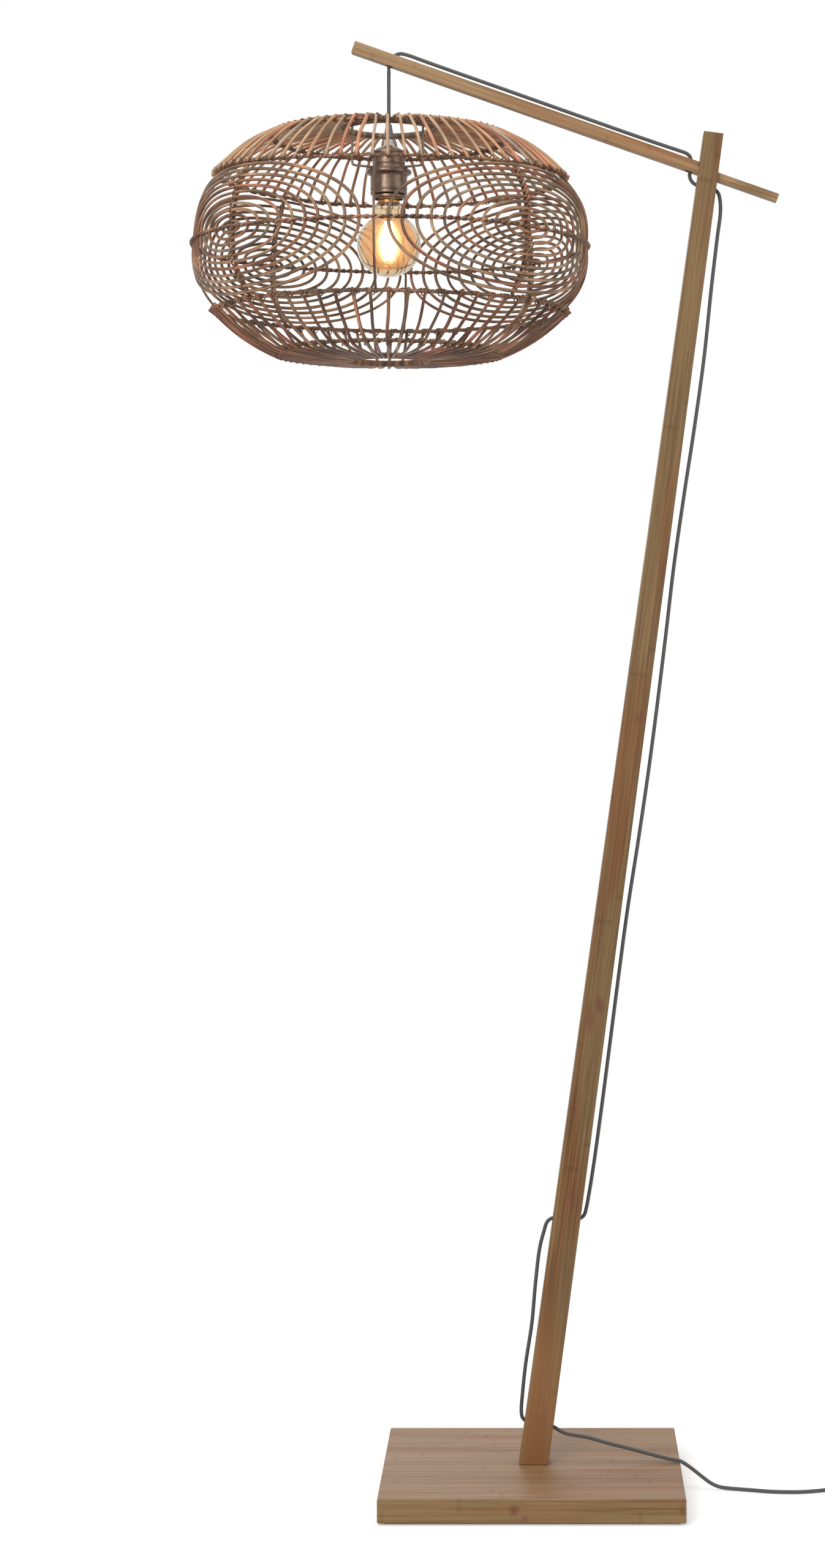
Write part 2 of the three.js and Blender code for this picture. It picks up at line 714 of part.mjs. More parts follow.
const closedProfile = (profile) => [...profile, profile[0]];

// The domed cap over the lamp holder, open at its eye for the cord grip's neck
function addHolderCap(eye, metal) {
  const domeFoot = capTop - capDomeHigh;
  const onDome = (radius, turn) => [radius * Math.cos(turn), domeFoot + capDomeHigh * Math.sin(turn)];
  const outer = domeShares.map((turn) => onDome(holderRadius, turn));
  const [innerRadius, innerHeight] = onDome(capInside, domeShares[0]);
  const inner = [
    [eye, capTop - holderWall],
    [innerRadius, innerHeight - holderWall],
    [capInside, domeFoot - holderWall],
  ];
  const cap = [
    [capInside, capFoot],
    [holderRadius, capFoot],
    [holderRadius, domeFoot],
    ...outer,
    [eye + holderWall, capTop],
    [eye, capTop],
    ...inner,
  ];
  node("holder_cap", turned(closedProfile(cap), roundSides), metal);
}

// What holds the bulb inside the lamp holder: an insert, its contact and the screw shell
function addSocket() {
  const floorUnder = tipTop + seatGap + contactHigh + seatGap;
  const shellFoot = floorUnder - seatGap - screwShellHigh;
  const insertRadius = bodyInside - seatGap;
  const hollow = shellRadius + seatGap;
  const insert = [
    [0, floorUnder],
    [hollow, floorUnder],
    [hollow, shellFoot],
    [insertRadius, shellFoot],
    [insertRadius, floorUnder + insertFloor],
    [0, floorUnder + insertFloor],
  ];
  node("holder_insert", turned(insert, roundSides), finish(plasticWhite, 0.6));
  const contactEnds = [tipTop + seatGap, floorUnder - seatGap].map((height) => [pendantAt, 0, height]);
  const contact = bar(...contactEnds, contactRadius, smallSides);
  node("centre_contact", contact, finish(brass, 0.35, 0.9));
  const shell = [
    [shellInside, shellFoot],
    [shellRadius, shellFoot],
    [shellRadius, floorUnder - seatGap],
    [shellInside, floorUnder - seatGap],
  ];
  node("screw_shell", turned(closedProfile(shell), roundSides), finish(brass, 0.35, 0.9));
}

function addBulb() {
  const inner = bulbRadius - glassWall;
  const neckInside = bulbNeckRadius - glassWall;
  const mouthRadius = capRadius - capWall - seatGap;
  const mouth = capFootHeight + neckInCap;
  const neckTop = capFootHeight - seatGap;
  const arc = (radius, neck, steps) => {
    const last = Math.acos(neck / radius);
    return Array.from({ length: steps }, (_, i) => {
      const angle = -Math.PI / 2 + ((last + Math.PI / 2) * (i + 1)) / steps;
      return [radius * Math.cos(angle), bulbCentreHeight + radius * Math.sin(angle)];
    });
  };
  const glass = [
    [0, bulbCentreHeight - bulbRadius],
    ...arc(bulbRadius, bulbNeckRadius, bulbArcSteps),
    [bulbNeckRadius, neckTop],
    [mouthRadius, neckTop],
    [mouthRadius, mouth],
    [mouthRadius - glassWall, mouth],
    [mouthRadius - glassWall, neckTop - glassWall],
    [neckInside, neckTop - glassWall],
    ...arc(inner, neckInside, bulbArcSteps).reverse(),
    [0, bulbCentreHeight - inner],
  ];
  const looks = { color: glassAmber, roughness: 0.05, transparent: true, opacity: 0.35 };
  const clear = new THREE.MeshStandardMaterial(looks);
  node("bulb_glass", turned(glass, roundSides), clear);
  addBulbCap(mouth + seatGap);
  addFilaments(mouth);
}

// The screw cap, hollow up to its ceiling over the glass's neck, and the tip that meets the holder's contact
function addBulbCap(ceiling) {
  const top = capFootHeight + capHigh;
  const cap = [
    [capRadius - capWall, capFootHeight],
    [capRadius, capFootHeight],
    [capRadius, top - capRimHigh],
    [tipRadius + capWall, top],
    [0, top],
    [0, ceiling],
    [capRadius - capWall, ceiling],
  ];
  node("bulb_cap", turned(closedProfile(cap), roundSides), finish(brass, 0.3, 0.9));
  const tipEnds = [top + seatGap, tipTop].map((height) => [pendantAt, 0, height]);
  const tip = bar(...tipEnds, tipRadius, smallSides, tipRadius * tipTopShare);
  node("bulb_tip", tip, finish(brass, 0.3, 0.9));
}

// The glass stem and the filaments that it holds
function addFilaments(stemTop) {
  const stemFoot = filamentTopHeight + seatGap;
  const stem = [
    [0, stemFoot],
    [stemTipRadius, stemFoot],
    [stemRadius, stemFoot + (stemTop - stemFoot) * stemTaperShare],
    [stemRadius, stemTop],
    [0, stemTop],
  ];
  node("filament_stem", turned(stem, smallSides), finish(glassAmber, 0.1));
  const [top, foot] = [filamentTopHeight - filamentWire, filamentFootHeight + filamentWire];
  const middle = [top, foot].map((height) => new THREE.Vector3(pendantAt, 0, height));
  const parts = [bar([pendantAt, 0, foot], [pendantAt, 0, filamentTopHeight], filamentWire, caneSides)];
  for (let i = 0; i < filamentCount; i++) {
    const angle = (2 * Math.PI * (i + 1 / 2)) / filamentCount;
    const ends = [around(filamentTopRingRadius, angle, top), around(filamentRingRadius, angle, foot)];
    parts.push(bar(ends[1].toArray(), ends[0].toArray(), filamentRadius, caneSides));
    parts.push(...ends.map((end, k) => bar(middle[k].toArray(), end.toArray(), filamentWire, caneSides)));
  }
  node("filaments", joined(parts), finish(glow, 0.4));
}

function addSpider() {
  const ringFoot = spiderTop - spiderRingThick;
  const plate = turned(
    closedProfile([
      [bodyRadius + seatGap, ringFoot],
      [spiderRingRadius, ringFoot],
      [spiderRingRadius, spiderTop],
      [bodyRadius + seatGap, spiderTop],
    ]),
    roundSides,
  );
  const wireHeight = spiderTop - spiderRingThick / 2;
  const openingInside = openingWire * Math.cos(Math.PI / hoopSides);
  const reach = topOpeningRadius - openingInside - spiderWire - seatGap;
  const hookHeight = topOpeningHeight + openingInside + spiderWire + seatGap;
  const parts = [plate];
  for (let i = 0; i < spiderArms; i++) {
    const angle = THREE.MathUtils.degToRad(spiderTurnDegrees) + (2 * Math.PI * i) / spiderArms;
    const path = [
      around(spiderRingRadius - spiderWire, angle, wireHeight + spiderWire),
      around(reach, angle, wireHeight + spiderWire),
      around(reach, angle, hookHeight),
      around(topOpeningRadius + openingWire, angle, hookHeight),
    ];
    parts.push(...path.slice(1).map((point, k) => lappedBar(path[k], point, spiderWire)));
  }
  node("spider", joined(parts), finish(bronze, 0.4, 0.8));
}

// Radius of the shade's wall between the shoulders, fullest at the waist
function wallRadius(height) {
  const halfHeight = (upperShoulderHeight - lowerShoulderHeight) / 2;
  const share = Math.min(Math.abs(height - waistHeight) / halfHeight, 1);
  return shoulderRadius + (wallMiddleRadius - shoulderRadius) * (1 - share ** wallPower);
}

// How far the middle of a strand stays from the middle of a hoop that it crosses, along their normal
function strandClearance(normal) {
  const hoopReach = hoopWire * Math.max(Math.abs(normal.x), Math.abs(normal.y));
  return hoopReach + strandWire * Math.cos(Math.PI / caneSides) + seatGap;
}

// The radial strands of one half, rooted in the ring of the opening, over the hoop and past the shoulder.
// Spots hold a radius and a height.
function strandCage(count, opening, hoopAt, shoulder, past) {
  const side = Math.sign(opening.y - shoulder.y);
  const normalOf = (from, to) => {
    const along = to.clone().sub(from).normalize();
    return new THREE.Vector2(Math.abs(along.y), side * along.x);
  };
  const [inner, outer] = [normalOf(opening, hoopAt), normalOf(hoopAt, shoulder)];
  const bisector = inner.clone().add(outer).normalize();
  const bendClear = Math.max(strandClearance(inner), strandClearance(outer)) / bisector.dot(outer);
  const over = hoopAt.clone().addScaledVector(bisector, bendClear);
  const end = shoulder.clone().addScaledVector(outer, strandClearance(outer));
  const tip = end.clone().add(end.clone().sub(over).setLength(past));
  const parts = [hoop(opening.x, opening.y, openingWire, count / 2, 1 / 2)];
  for (let i = 0; i < count; i++) {
    const angle = (2 * Math.PI * (i + 1 / 2)) / count;
    const path = [opening, over, tip].map((spot) => around(spot.x, angle, spot.y));
    parts.push(strand(path, strandWire, caneSides));
  }
  return joined(parts);
}

// One net of the waist: ovals on the shade's wall, tied to an upright rib
function ovalNet(middle) {
  const ovalInside = ovalWire * Math.cos(Math.PI / caneSides);
  const parts = [rib(middle, ribWire, ovalInside + ribWire - ribBite)];
  const round = (value) => Math.sign(value) * Math.abs(value) ** (2 / ovalRoundness);
  ovalSteps.forEach((steps, i) => {
    const points = Array.from({ length: steps }, (_, j) => {
      const turn = (2 * Math.PI * (j + 1 / 2)) / steps;
      const angle = turn + ovalEvening * Math.sin(2 * turn);
      const height = waistHeight + (i + 1) * ovalPitchUp * round(Math.sin(angle));
      const along = (i + 1) * ovalPitchAlong * round(Math.cos(angle));
      return around(wallRadius(height), middle + along / wallMiddleRadius, height);
    });
    parts.push(strand(points, ovalWire, caneSides, true));
  });
  return joined(parts);
}

// An upright rib inside the wall, with square ends that meet the two shoulder hoops
function rib(angle, wire, setBack) {
  const clear = hoopWire + seatGap;
  const [foot, top] = [lowerShoulderHeight + clear, upperShoulderHeight - clear];
  const onWall = ribHeightShares.map((share) => {
    const height = foot + (top - foot) * share;
    return around(wallRadius(height) - setBack, angle, height);
  });
  const stubs = [foot, foot + ribStub, top - ribStub, top];
  const ends = stubs.map((height) => around(shoulderRadius, angle, height));
  return strand([...ends.slice(0, 2), ...onWall, ...ends.slice(2)], wire, hoopSides);
}

function addShade() {
  const cane = finish(rattan, 0.6);
  const dark = finish(rattanDark, 0.65);
  const spot = (radius, height) => new THREE.Vector2(radius, height);
  const topRing = spot(topOpeningRadius, topOpeningHeight);
  const topHoop = spot(topHoopRadius, topHoopHeight);
  const bottomRing = spot(bottomOpeningRadius, bottomOpeningHeight);
  const bottomHoop = spot(bottomHoopRadius, bottomHoopHeight);
  const upperShoulder = spot(shoulderRadius, upperShoulderHeight);
  const lowerShoulder = spot(shoulderRadius, lowerShoulderHeight);
  const upper = strandCage(upperStrandCount, topRing, topHoop, upperShoulder, upperStrandTip);
  const lower = strandCage(lowerStrandCount, bottomRing, bottomHoop, lowerShoulder, lowerStrandTip);
  node("upper_strands", upper, cane);
  node("lower_strands", lower, cane);
  node("top_hoop", hoop(topHoopRadius, topHoopHeight, hoopWire, upperStrandCount / 2), dark);
  node("bottom_hoop", hoop(bottomHoopRadius, bottomHoopHeight, hoopWire, lowerStrandCount / 2), dark);
  node("upper_shoulder_hoop", hoop(shoulderRadius, upperShoulderHeight, hoopWire, hoopSteps), dark);
  node("lower_shoulder_hoop", hoop(shoulderRadius, lowerShoulderHeight, hoopWire, hoopSteps), dark);
  node("waist_hoop", hoop(waistHoopRadius, waistHeight, waistWire, hoopSteps), dark);
  const names = ["front_right", "back_right", "back_left", "front_left"];
  names.forEach((place, i) => {
    node("oval_net_" + place, ovalNet(motifTurns[i]), cane);
    const next = i + 1 < motifTurns.length ? motifTurns[i + 1] : motifTurns[0] + 2 * Math.PI;
    node("side_rib_" + (i + 1), rib((motifTurns[i] + next) / 2, sideRibWire, 0), dark);
  });
}

// An outline with round ends, given a height
function lozenge(long, wide, high) {
  const [half, round] = [long / 2 - wide / 2, wide / 2];
  const shape = new THREE.Shape();
  shape.moveTo(-half, -round).lineTo(half, -round);
  shape.absarc(half, 0, round, -Math.PI / 2, Math.PI / 2, false);
  shape.lineTo(-half, round);
  shape.absarc(-half, 0, round, Math.PI / 2, (3 * Math.PI) / 2, false);
  return new THREE.ExtrudeGeometry(shape, { depth: high, bevelEnabled: false, curveSegments: curveSteps });
}

function addSwitch() {
  const dark = finish(plasticBlack, 0.45);
  const [x, y] = switchAt;
  const cordHeight = toCoilRoute[0][2];
  const coverFoot = switchBaseHigh + seatGap;
  const coverTop = coverFoot + switchCoverHigh;
  const inside = [switchLong - 2 * switchWall, switchWide - 2 * switchWall];
  const screwX = [x - switchLong / 2 + switchWide / 2, x + switchLong / 2 - switchWide / 2];
  const boreTop = switchScrewHigh + seatGap;
  const base = cut(solid(lozenge(switchLong, switchWide, switchBaseHigh).translate(x, y, 0)), [
    lozenge(...inside, switchBaseHigh).translate(x, y, switchWall + switchScrewHigh),
    ...screwX.map((at) => bar([at, y, -overrun], [at, y, boreTop], switchScrewRadius + seatGap, wireSides)),
  ]);
  node("switch_base", base, dark);
  screwX.forEach((at, i) => {
    const screw = bar([at, y, switchWall / 2], [at, y, switchScrewHigh], switchScrewRadius, wireSides);
    node("switch_screw_" + (i + 1), screw, finish(steel, 0.35, 0.9));
  });
  const crown = lozenge(switchLong - 2 * switchCrown, switchWide - 2 * switchCrown, switchCrown);
  const cover = joined([
    lozenge(switchLong, switchWide, switchCoverHigh - switchCrown).translate(x, y, coverFoot),
    crown.translate(x, y, coverTop - switchCrown),
  ]);
  const roof = coverTop - switchCrown - switchWall;
  const shell = cut(cover, [
    lozenge(...inside, roof - coverFoot + overrun).translate(x, y, coverFoot - overrun),
    bar([x, y, coverFoot], [x, y, coverTop + overrun], buttonRadius + seatGap, roundSides),
  ]);
  node("switch_cover", shell, dark);
  const flangeTop = roof - seatGap;
  const flangeFoot = [x, y, flangeTop - buttonFlangeThick];
  const flange = bar(flangeFoot, [x, y, flangeTop], buttonFlangeRadius, roundSides);
  const button = bar(flangeFoot, [x, y, coverTop + buttonProud], buttonRadius, roundSides);
  node("switch_button", joined([flange, button]), finish(plasticBlack, 0.35));
  const nearEnd = x - switchLong / 2;
  const farEnd = x + switchLong / 2;
  const reliefs = [
    ["switch_relief_in", nearEnd - seatGap, nearEnd - reliefLong],
    ["switch_relief_out", farEnd + seatGap, farEnd + reliefLong],
  ];
  for (const [name, root, tip] of reliefs) {
    const [from, to] = [root, tip].map((at) => [at, y, cordHeight]);
    node(name, bar(from, to, reliefRootRadius, smallSides, reliefTipRadius), dark);
  }
}

function addPlug() {
  const dark = finish(plasticBlack, 0.45);
  const [tip, y, z] = toPlugRoute.at(-1);
  const reliefTip = tip - seatGap;
  const bodyBack = reliefTip - reliefLong;
  const relief = bar([bodyBack, y, z], [reliefTip, y, z], reliefRootRadius, smallSides, reliefTipRadius);
  node("plug_relief", relief, dark);
  const back = bodyBack - seatGap;
  const front = back - plugBodyLong;
  const [half, nose] = [plugBodyWide / 2, plugNoseWide / 2];
  const waist = front + plugBodyLong / 3;
  const shape = new THREE.Shape();
  shape.moveTo(front, -half).lineTo(waist, -half).quadraticCurveTo(back, -half, back, -nose / 2);
  shape.lineTo(back, nose / 2).quadraticCurveTo(back, half, waist, half).lineTo(front, half).closePath();
  const extent = { depth: plugBodyThick, bevelEnabled: false, curveSegments: curveSteps };
  const body = new THREE.ExtrudeGeometry(shape, extent);
  const pinSpots = [-pinSpacing / 2, pinSpacing / 2];
  const boreEnd = front + pinRooted + seatGap;
  const bores = pinSpots.map((at) =>
    bar([front - overrun, y + at, z], [boreEnd, y + at, z], pinRadius + seatGap, smallSides),
  );
  const middle = z - plugBodyThick / 2;
  node("plug_body", cut(solid(body.translate(0, y, middle)), bores), dark);
  pinSpots.forEach((at, i) => {
    const pin = bar([front + pinRooted, y + at, z], [front - pinLong, y + at, z], pinRadius, smallSides);
    node("plug_pin_" + (i + 1), pin, finish(steel, 0.25, 0.95));
  });
}

addBase();
addPost();
addArm();
addCords();
addHolder();
addSocket();
addBulb();
addSpider();
addShade();
addSwitch();
addPlug();

export default lamp;
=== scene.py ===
import math
import random

import bmesh
import bpy
import numpy as np
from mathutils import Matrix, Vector


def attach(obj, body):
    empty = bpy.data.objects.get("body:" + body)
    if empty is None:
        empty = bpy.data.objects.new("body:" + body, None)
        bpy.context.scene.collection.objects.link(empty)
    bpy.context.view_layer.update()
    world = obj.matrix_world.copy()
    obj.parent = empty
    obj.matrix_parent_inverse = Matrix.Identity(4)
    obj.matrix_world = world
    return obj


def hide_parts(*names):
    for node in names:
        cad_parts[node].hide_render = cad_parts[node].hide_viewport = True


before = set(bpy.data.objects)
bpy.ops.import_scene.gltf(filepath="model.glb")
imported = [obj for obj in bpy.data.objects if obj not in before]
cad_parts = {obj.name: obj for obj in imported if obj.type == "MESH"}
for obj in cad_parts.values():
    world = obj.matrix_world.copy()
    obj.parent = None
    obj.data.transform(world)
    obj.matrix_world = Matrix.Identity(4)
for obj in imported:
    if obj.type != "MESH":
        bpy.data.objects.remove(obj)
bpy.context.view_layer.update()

dice = random.Random(5)

# Pieces are in millimetres, as in the part's source, and become metres where a mesh is made.
# Camera, lamps and the patterns of the materials are in metres.
MM = 0.001
AXIS = -179  # x of the pendant's axis


# ---------------- camera
lens = bpy.data.cameras.new("camera")
lens.sensor_width = 36
lens.lens = 63.28
lens.shift_x, lens.shift_y = -0.0822, -0.0914
lens.clip_start, lens.clip_end = 0.1, 60
camera = bpy.data.objects.new("camera", lens)
camera.location = (0.0116, -3.442, 1.0576)
camera.rotation_euler = (math.pi / 2, 0, 0)
bpy.context.scene.collection.objects.link(camera)
bpy.context.scene.camera = camera
bpy.context.scene.view_settings.view_transform = "Standard"


# ---------------- materials
class Graph:
    """The nodes of one material or world, and short ways to add to them."""

    def __init__(self, owner):
        owner.use_nodes = True
        self.tree = owner.node_tree

    def node(self, kind, inputs=(), **settings):
        made = self.tree.nodes.new("ShaderNode" + kind)
        for key, value in settings.items():
            setattr(made, key, value)
        for key, value in dict(inputs).items():
            self.join(value, made.inputs[key])
        return made

    def join(self, value, socket):
        """Link a node or one of its outputs to the socket, or set a constant on the socket."""
        if isinstance(value, bpy.types.Node):
            value = value.outputs[0]
        if isinstance(value, bpy.types.NodeSocket):
            self.tree.links.new(value, socket)
        else:
            socket.default_value = value

    def math(self, operation, a, b=0.0, c=0.0):
        return self.node("Math", {0: a, 1: b, 2: c}, operation=operation)

    def length(self, vector):
        return self.node("VectorMath", {0: vector}, operation="LENGTH").outputs["Value"]

    def between(self, value, low, high, top=1.0, slope="SMOOTHSTEP"):
        """0 at low, top at high, and the same on past both."""
        inputs = {"Value": value, "From Min": low, "From Max": high, "To Max": top}
        return self.node("MapRange", inputs, interpolation_type=slope)

    def seen(self):
        """1 for rays from the camera and those that metal and glass send on, else 0."""
        paths = self.node("LightPath").outputs
        sent_on = self.math("MAXIMUM", paths["Is Glossy Ray"], paths["Is Transmission Ray"])
        return self.math("MAXIMUM", paths["Is Camera Ray"], sent_on)

    def coordinates(self, source, scale=(1, 1, 1)):
        if source == "Object":
            place = self.node("TexCoord").outputs["Object"]
        else:
            place = self.node("Attribute", attribute_name=source).outputs["Vector"]
        return self.node("Mapping", {"Vector": place, "Scale": scale})

    def noise(self, where, detail=2.0, rough=0.5):
        return self.node("TexNoise", {"Vector": where, "Scale": 1.0, "Detail": detail, "Roughness": rough})

    def ramp(self, value, *stops):
        made = self.node("ValToRGB", {"Fac": value})
        elements = made.color_ramp.elements
        while len(elements) < len(stops):
            elements.new(0.5)
        for element, (place, colour) in zip(elements, stops):
            element.position = place
            element.color = srgb(colour)
        return made.outputs["Color"]

    def mix(self, share, a, b, blend="MIX"):
        made = self.node("Mix", data_type="RGBA", blend_type=blend)
        for key, value in ((0, share), (6, a), (7, b)):
            self.join(value, made.inputs[key])
        return made.outputs[2]

    def bump(self, height, distance, strength, under=None):
        inputs = {"Height": height, "Distance": distance, "Strength": strength}
        if under is not None:
            inputs["Normal"] = under
        return self.node("Bump", inputs).outputs["Normal"]


class Finish(Graph):
    """A material round one Principled shader."""

    def __init__(self, name, **sockets):
        self.material = bpy.data.materials.new(name)
        super().__init__(self.material)
        self.shader = self.tree.nodes["Principled BSDF"]
        self.set(**sockets)

    def set(self, **sockets):
        for socket, value in sockets.items():
            self.join(value, self.shader.inputs[socket.replace("_", " ")])


def srgb(text):
    """A colour #rrggbb as Blender's linear one."""
    parts = [int(text[i : i + 2], 16) / 255 for i in (1, 3, 5)]
    return (*[p / 12.92 if p <= 0.04045 else ((p + 0.055) / 1.055) ** 2.4 for p in parts], 1)


STRAW = ("#d17d60", "#dd946e", "#dfa87c", "#dab48c", "#c9ad98")
# painted shade: redder hues for the lower strands' darker copy
SHADED_RUSSET = ("#c66b50", "#d98660", "#db9b70", "#d4a47e", "#c09e8a")


def rattan_finish(name, hues, shade):
    """Cane: its tint sets the hue from reddish to grey, its fibres and patches how dark it is."""
    f = Finish(name, Specular_IOR_Level=0.4)
    tint = f.node("Attribute", attribute_name="tint").outputs["Fac"]
    fibre = f.noise(f.coordinates("along", (900, 900, 14)), 4.0, 0.6)
    patch = f.noise(f.coordinates("along", (60, 60, 16)))
    blush = f.noise(f.coordinates("along", (20, 20, 9)), 1.0, 0.4)
    turn = f.math("MULTIPLY_ADD", tint, 0.6, f.math("MULTIPLY", blush, 0.45))
    hue = f.ramp(turn, *zip((0.1, 0.3, 0.52, 0.72, 0.92), hues))
    depth = f.math("MULTIPLY_ADD", fibre, 0.55, f.math("MULTIPLY", patch, 0.5))
    value = f.ramp(depth, (0.34, shade[0]), (0.52, shade[1]), (0.7, shade[2]))
    f.set(
        Base_Color=f.mix(1.0, hue, value, "MULTIPLY"),
        Roughness=f.math("MULTIPLY_ADD", fibre, 0.3, 0.34),
        Normal=f.bump(fibre, 0.00025, 0.9),
    )
    return f.material


THREAD_PAIRS, CROSSINGS = 8, 520  # round the cord, and to a metre of it


def cord_finish():
    """Braided cover: two sets of threads that cross, seen as small diamonds."""
    f = Finish("cord_textile", Sheen_Weight=0.25, Sheen_Roughness=0.5)
    split = f.node("SeparateXYZ", {"Vector": f.coordinates("along")})
    turn = f.math("MULTIPLY", f.math("ARCTAN2", split.outputs[1], split.outputs[0]), THREAD_PAIRS)
    run = f.math("MULTIPLY", split.outputs[2], math.tau * CROSSINGS)
    one = f.math("SINE", f.math("ADD", turn, run))
    two = f.math("SINE", f.math("SUBTRACT", turn, run))
    braid = f.math("MULTIPLY_ADD", f.math("MAXIMUM", one, two), 0.5, 0.5)
    fuzz = f.noise(f.coordinates("along", (3000, 3000, 1500)))
    fleck = f.math("MULTIPLY_ADD", braid, 0.55, f.math("MULTIPLY", fuzz, 0.5))
    f.set(
        Base_Color=f.ramp(fleck, (0.15, "#303031"), (0.6, "#4c4c4c"), (0.95, "#686766")),
        Roughness=f.math("MULTIPLY_ADD", fuzz, 0.2, 0.72),
        Normal=f.bump(braid, 0.0003, 0.8),
    )
    return f.material


STRIP_WIDE, JOINT_APART, JOINT_WIDE, BLOTCH = 0.019, 0.31, 0.014, "#6a3a2a"


def bamboo_finish(name, turn, shades, blush, blotches_and_shade, upper=None):
    """Laminated bamboo: strips along X once turned, fine fibres, redder zones, dark blotches, and where
    given, painted shade patches and a painted lighter top.
    """
    f = Finish(name, Specular_IOR_Level=0.3)
    coordinates = f.node("TexCoord").outputs
    place = f.node("Mapping", {"Vector": coordinates["Object"], "Rotation": turn})
    split = f.node("SeparateXYZ", {"Vector": place})

    def grain(scale, detail, rough):
        return f.noise(f.node("Mapping", {"Vector": place, "Scale": scale}), detail, rough)

    fibre = grain((9, 1100, 1100), 4.0, 0.6)
    vein = grain((5, 330, 330), 4.0, 0.65)
    zone = grain((3.4, 34, 34), 2.0, 0.5)
    # each strip has its own tone and its own joints
    across = f.math("ADD", split.outputs[2], split.outputs[1])
    lane = f.math("FLOOR", f.math("DIVIDE", across, STRIP_WIDE))
    tone = f.node("TexWhiteNoise", {"W": lane}, noise_dimensions="1D").outputs["Value"]
    shifted = f.math("MULTIPLY_ADD", tone, 0.37, split.outputs[0])
    cell = f.math("FRACT", f.math("DIVIDE", shifted, JOINT_APART))
    off_joint = f.math("DIVIDE", f.math("ABSOLUTE", f.math("SUBTRACT", cell, 0.5)), JOINT_WIDE)
    joint = f.math("SUBTRACT", 1.0, f.math("SMOOTH_MIN", off_joint, 1.0, 0.2))
    share = f.math("MULTIPLY_ADD", vein, 0.66, f.math("MULTIPLY", tone, 0.1))
    share = f.math("ADD", f.math("MULTIPLY", fibre, 0.3), share)
    share = f.math("SUBTRACT", share, f.math("MULTIPLY", joint, 0.07))
    stops = (0.38, 0.53, 0.7)
    colour = f.ramp(share, *zip(stops, shades))
    if upper:
        # painted light: faces turned up take the paler shades, as if lit from above
        facing = f.node("SeparateXYZ", {"Vector": coordinates["Normal"]}).outputs[2]
        lit_top_share = f.between(facing, 0.4, 0.9, slope="LINEAR")
        colour = f.mix(lit_top_share, colour, f.ramp(share, *zip(stops, upper)))
    red = f.between(zone, 0.48, 0.7, 0.8)
    colour = f.mix(red, colour, f.mix(1.0, colour, blush, "MULTIPLY"))
    # each listed mark darkens a ragged patch: dark knots, and on the arm's stub a painted shade
    for (x, y, z), wide, tall, deep, *dark in blotches_and_shade:
        moved, shrunk = (-x / wide, -y / wide, -z / tall), (1 / wide, 1 / wide, 1 / tall)
        near = f.node("Mapping", {"Vector": coordinates["Object"], "Location": moved, "Scale": shrunk})
        ragged = f.math("MULTIPLY_ADD", vein, 1.6, f.math("SUBTRACT", f.length(near), 0.8))
        colour = f.mix(f.between(ragged, 1.0, 0.3, deep), colour, srgb(*dark or [BLOTCH]))
    f.set(
        Base_Color=colour,
        Roughness=f.math("MULTIPLY_ADD", fibre, 0.25, 0.38),
        Normal=f.bump(fibre, 0.0002, 0.5, f.bump(joint, 0.0004, 0.4)),
    )
    return f.material


def metal_finish(name, dark, light, rough, stretch=(60, 60, 2500)):
    """Turned or drawn metal with fine lines across the stretch and a little tarnish."""
    f = Finish(name, Metallic=1.0)
    lines = f.noise(f.coordinates("Object", stretch), 3.0, 0.6)
    cloud = f.noise(f.coordinates("Object", (120, 120, 120)), 3.0, 0.6)
    share = f.math("MULTIPLY_ADD", lines, 0.4, f.math("MULTIPLY", cloud, 0.6))
    f.set(
        Base_Color=f.ramp(share, (0.3, dark), (0.7, light)),
        Roughness=f.math("MULTIPLY_ADD", cloud, 0.2, rough),
        Normal=f.bump(lines, 0.00006, 0.5),
    )
    return f.material


def moulded_finish(name, dark, light, rough, scale=900, bump=0.00008, **sockets):
    """Plastic, ceramic or felt with a fine grit."""
    f = Finish(name, **sockets)
    grit = f.noise(f.coordinates("Object", (scale, scale, scale)))
    cloud = f.noise(f.coordinates("Object", (40, 40, 40)))
    share = f.math("MULTIPLY_ADD", grit, 0.4, f.math("MULTIPLY", cloud, 0.6))
    f.set(
        Base_Color=f.ramp(share, (0.25, dark), (0.75, light)),
        Roughness=f.math("MULTIPLY_ADD", grit, 0.15, rough),
        Normal=f.bump(grit, bump, 0.5),
    )
    return f.material


def glass_finish():
    """Clear glass with a light amber tint."""
    f = Finish("bulb_clear", IOR=1.45, Transmission_Weight=1.0)
    cloud = f.noise(f.coordinates("Object", (30, 30, 30)))
    f.set(
        Base_Color=f.ramp(cloud, (0.3, "#ecdcc0"), (0.7, "#f4e8d6")),
        Roughness=f.math("MULTIPLY", cloud, 0.02),
    )
    return f.material


def glow_finish(name, colour, bright, strength, alpha=1.0):
    """A surface that shines, or a thin veil of light where alpha is low."""
    f = Finish(name, Emission_Strength=strength, Alpha=alpha, Roughness=0.5)
    cloud = f.noise(f.coordinates("Object", (400, 400, 90)))
    f.set(
        Base_Color=f.ramp(cloud, (0.3, colour), (0.7, bright)),
        Emission_Color=f.ramp(cloud, (0.2, colour), (0.8, bright)),
    )
    return f.material


RATTAN = rattan_finish("rattan", STRAW, ("#383838", "#8a8a8a", "#ffffff"))
# painted light: the upper strands get a paler copy of the cane's values, as lit from above
RATTAN_LIT_TOP = rattan_finish("rattan_top", STRAW, ("#5c5c5c", "#cfcfcf", "#ffffff"))
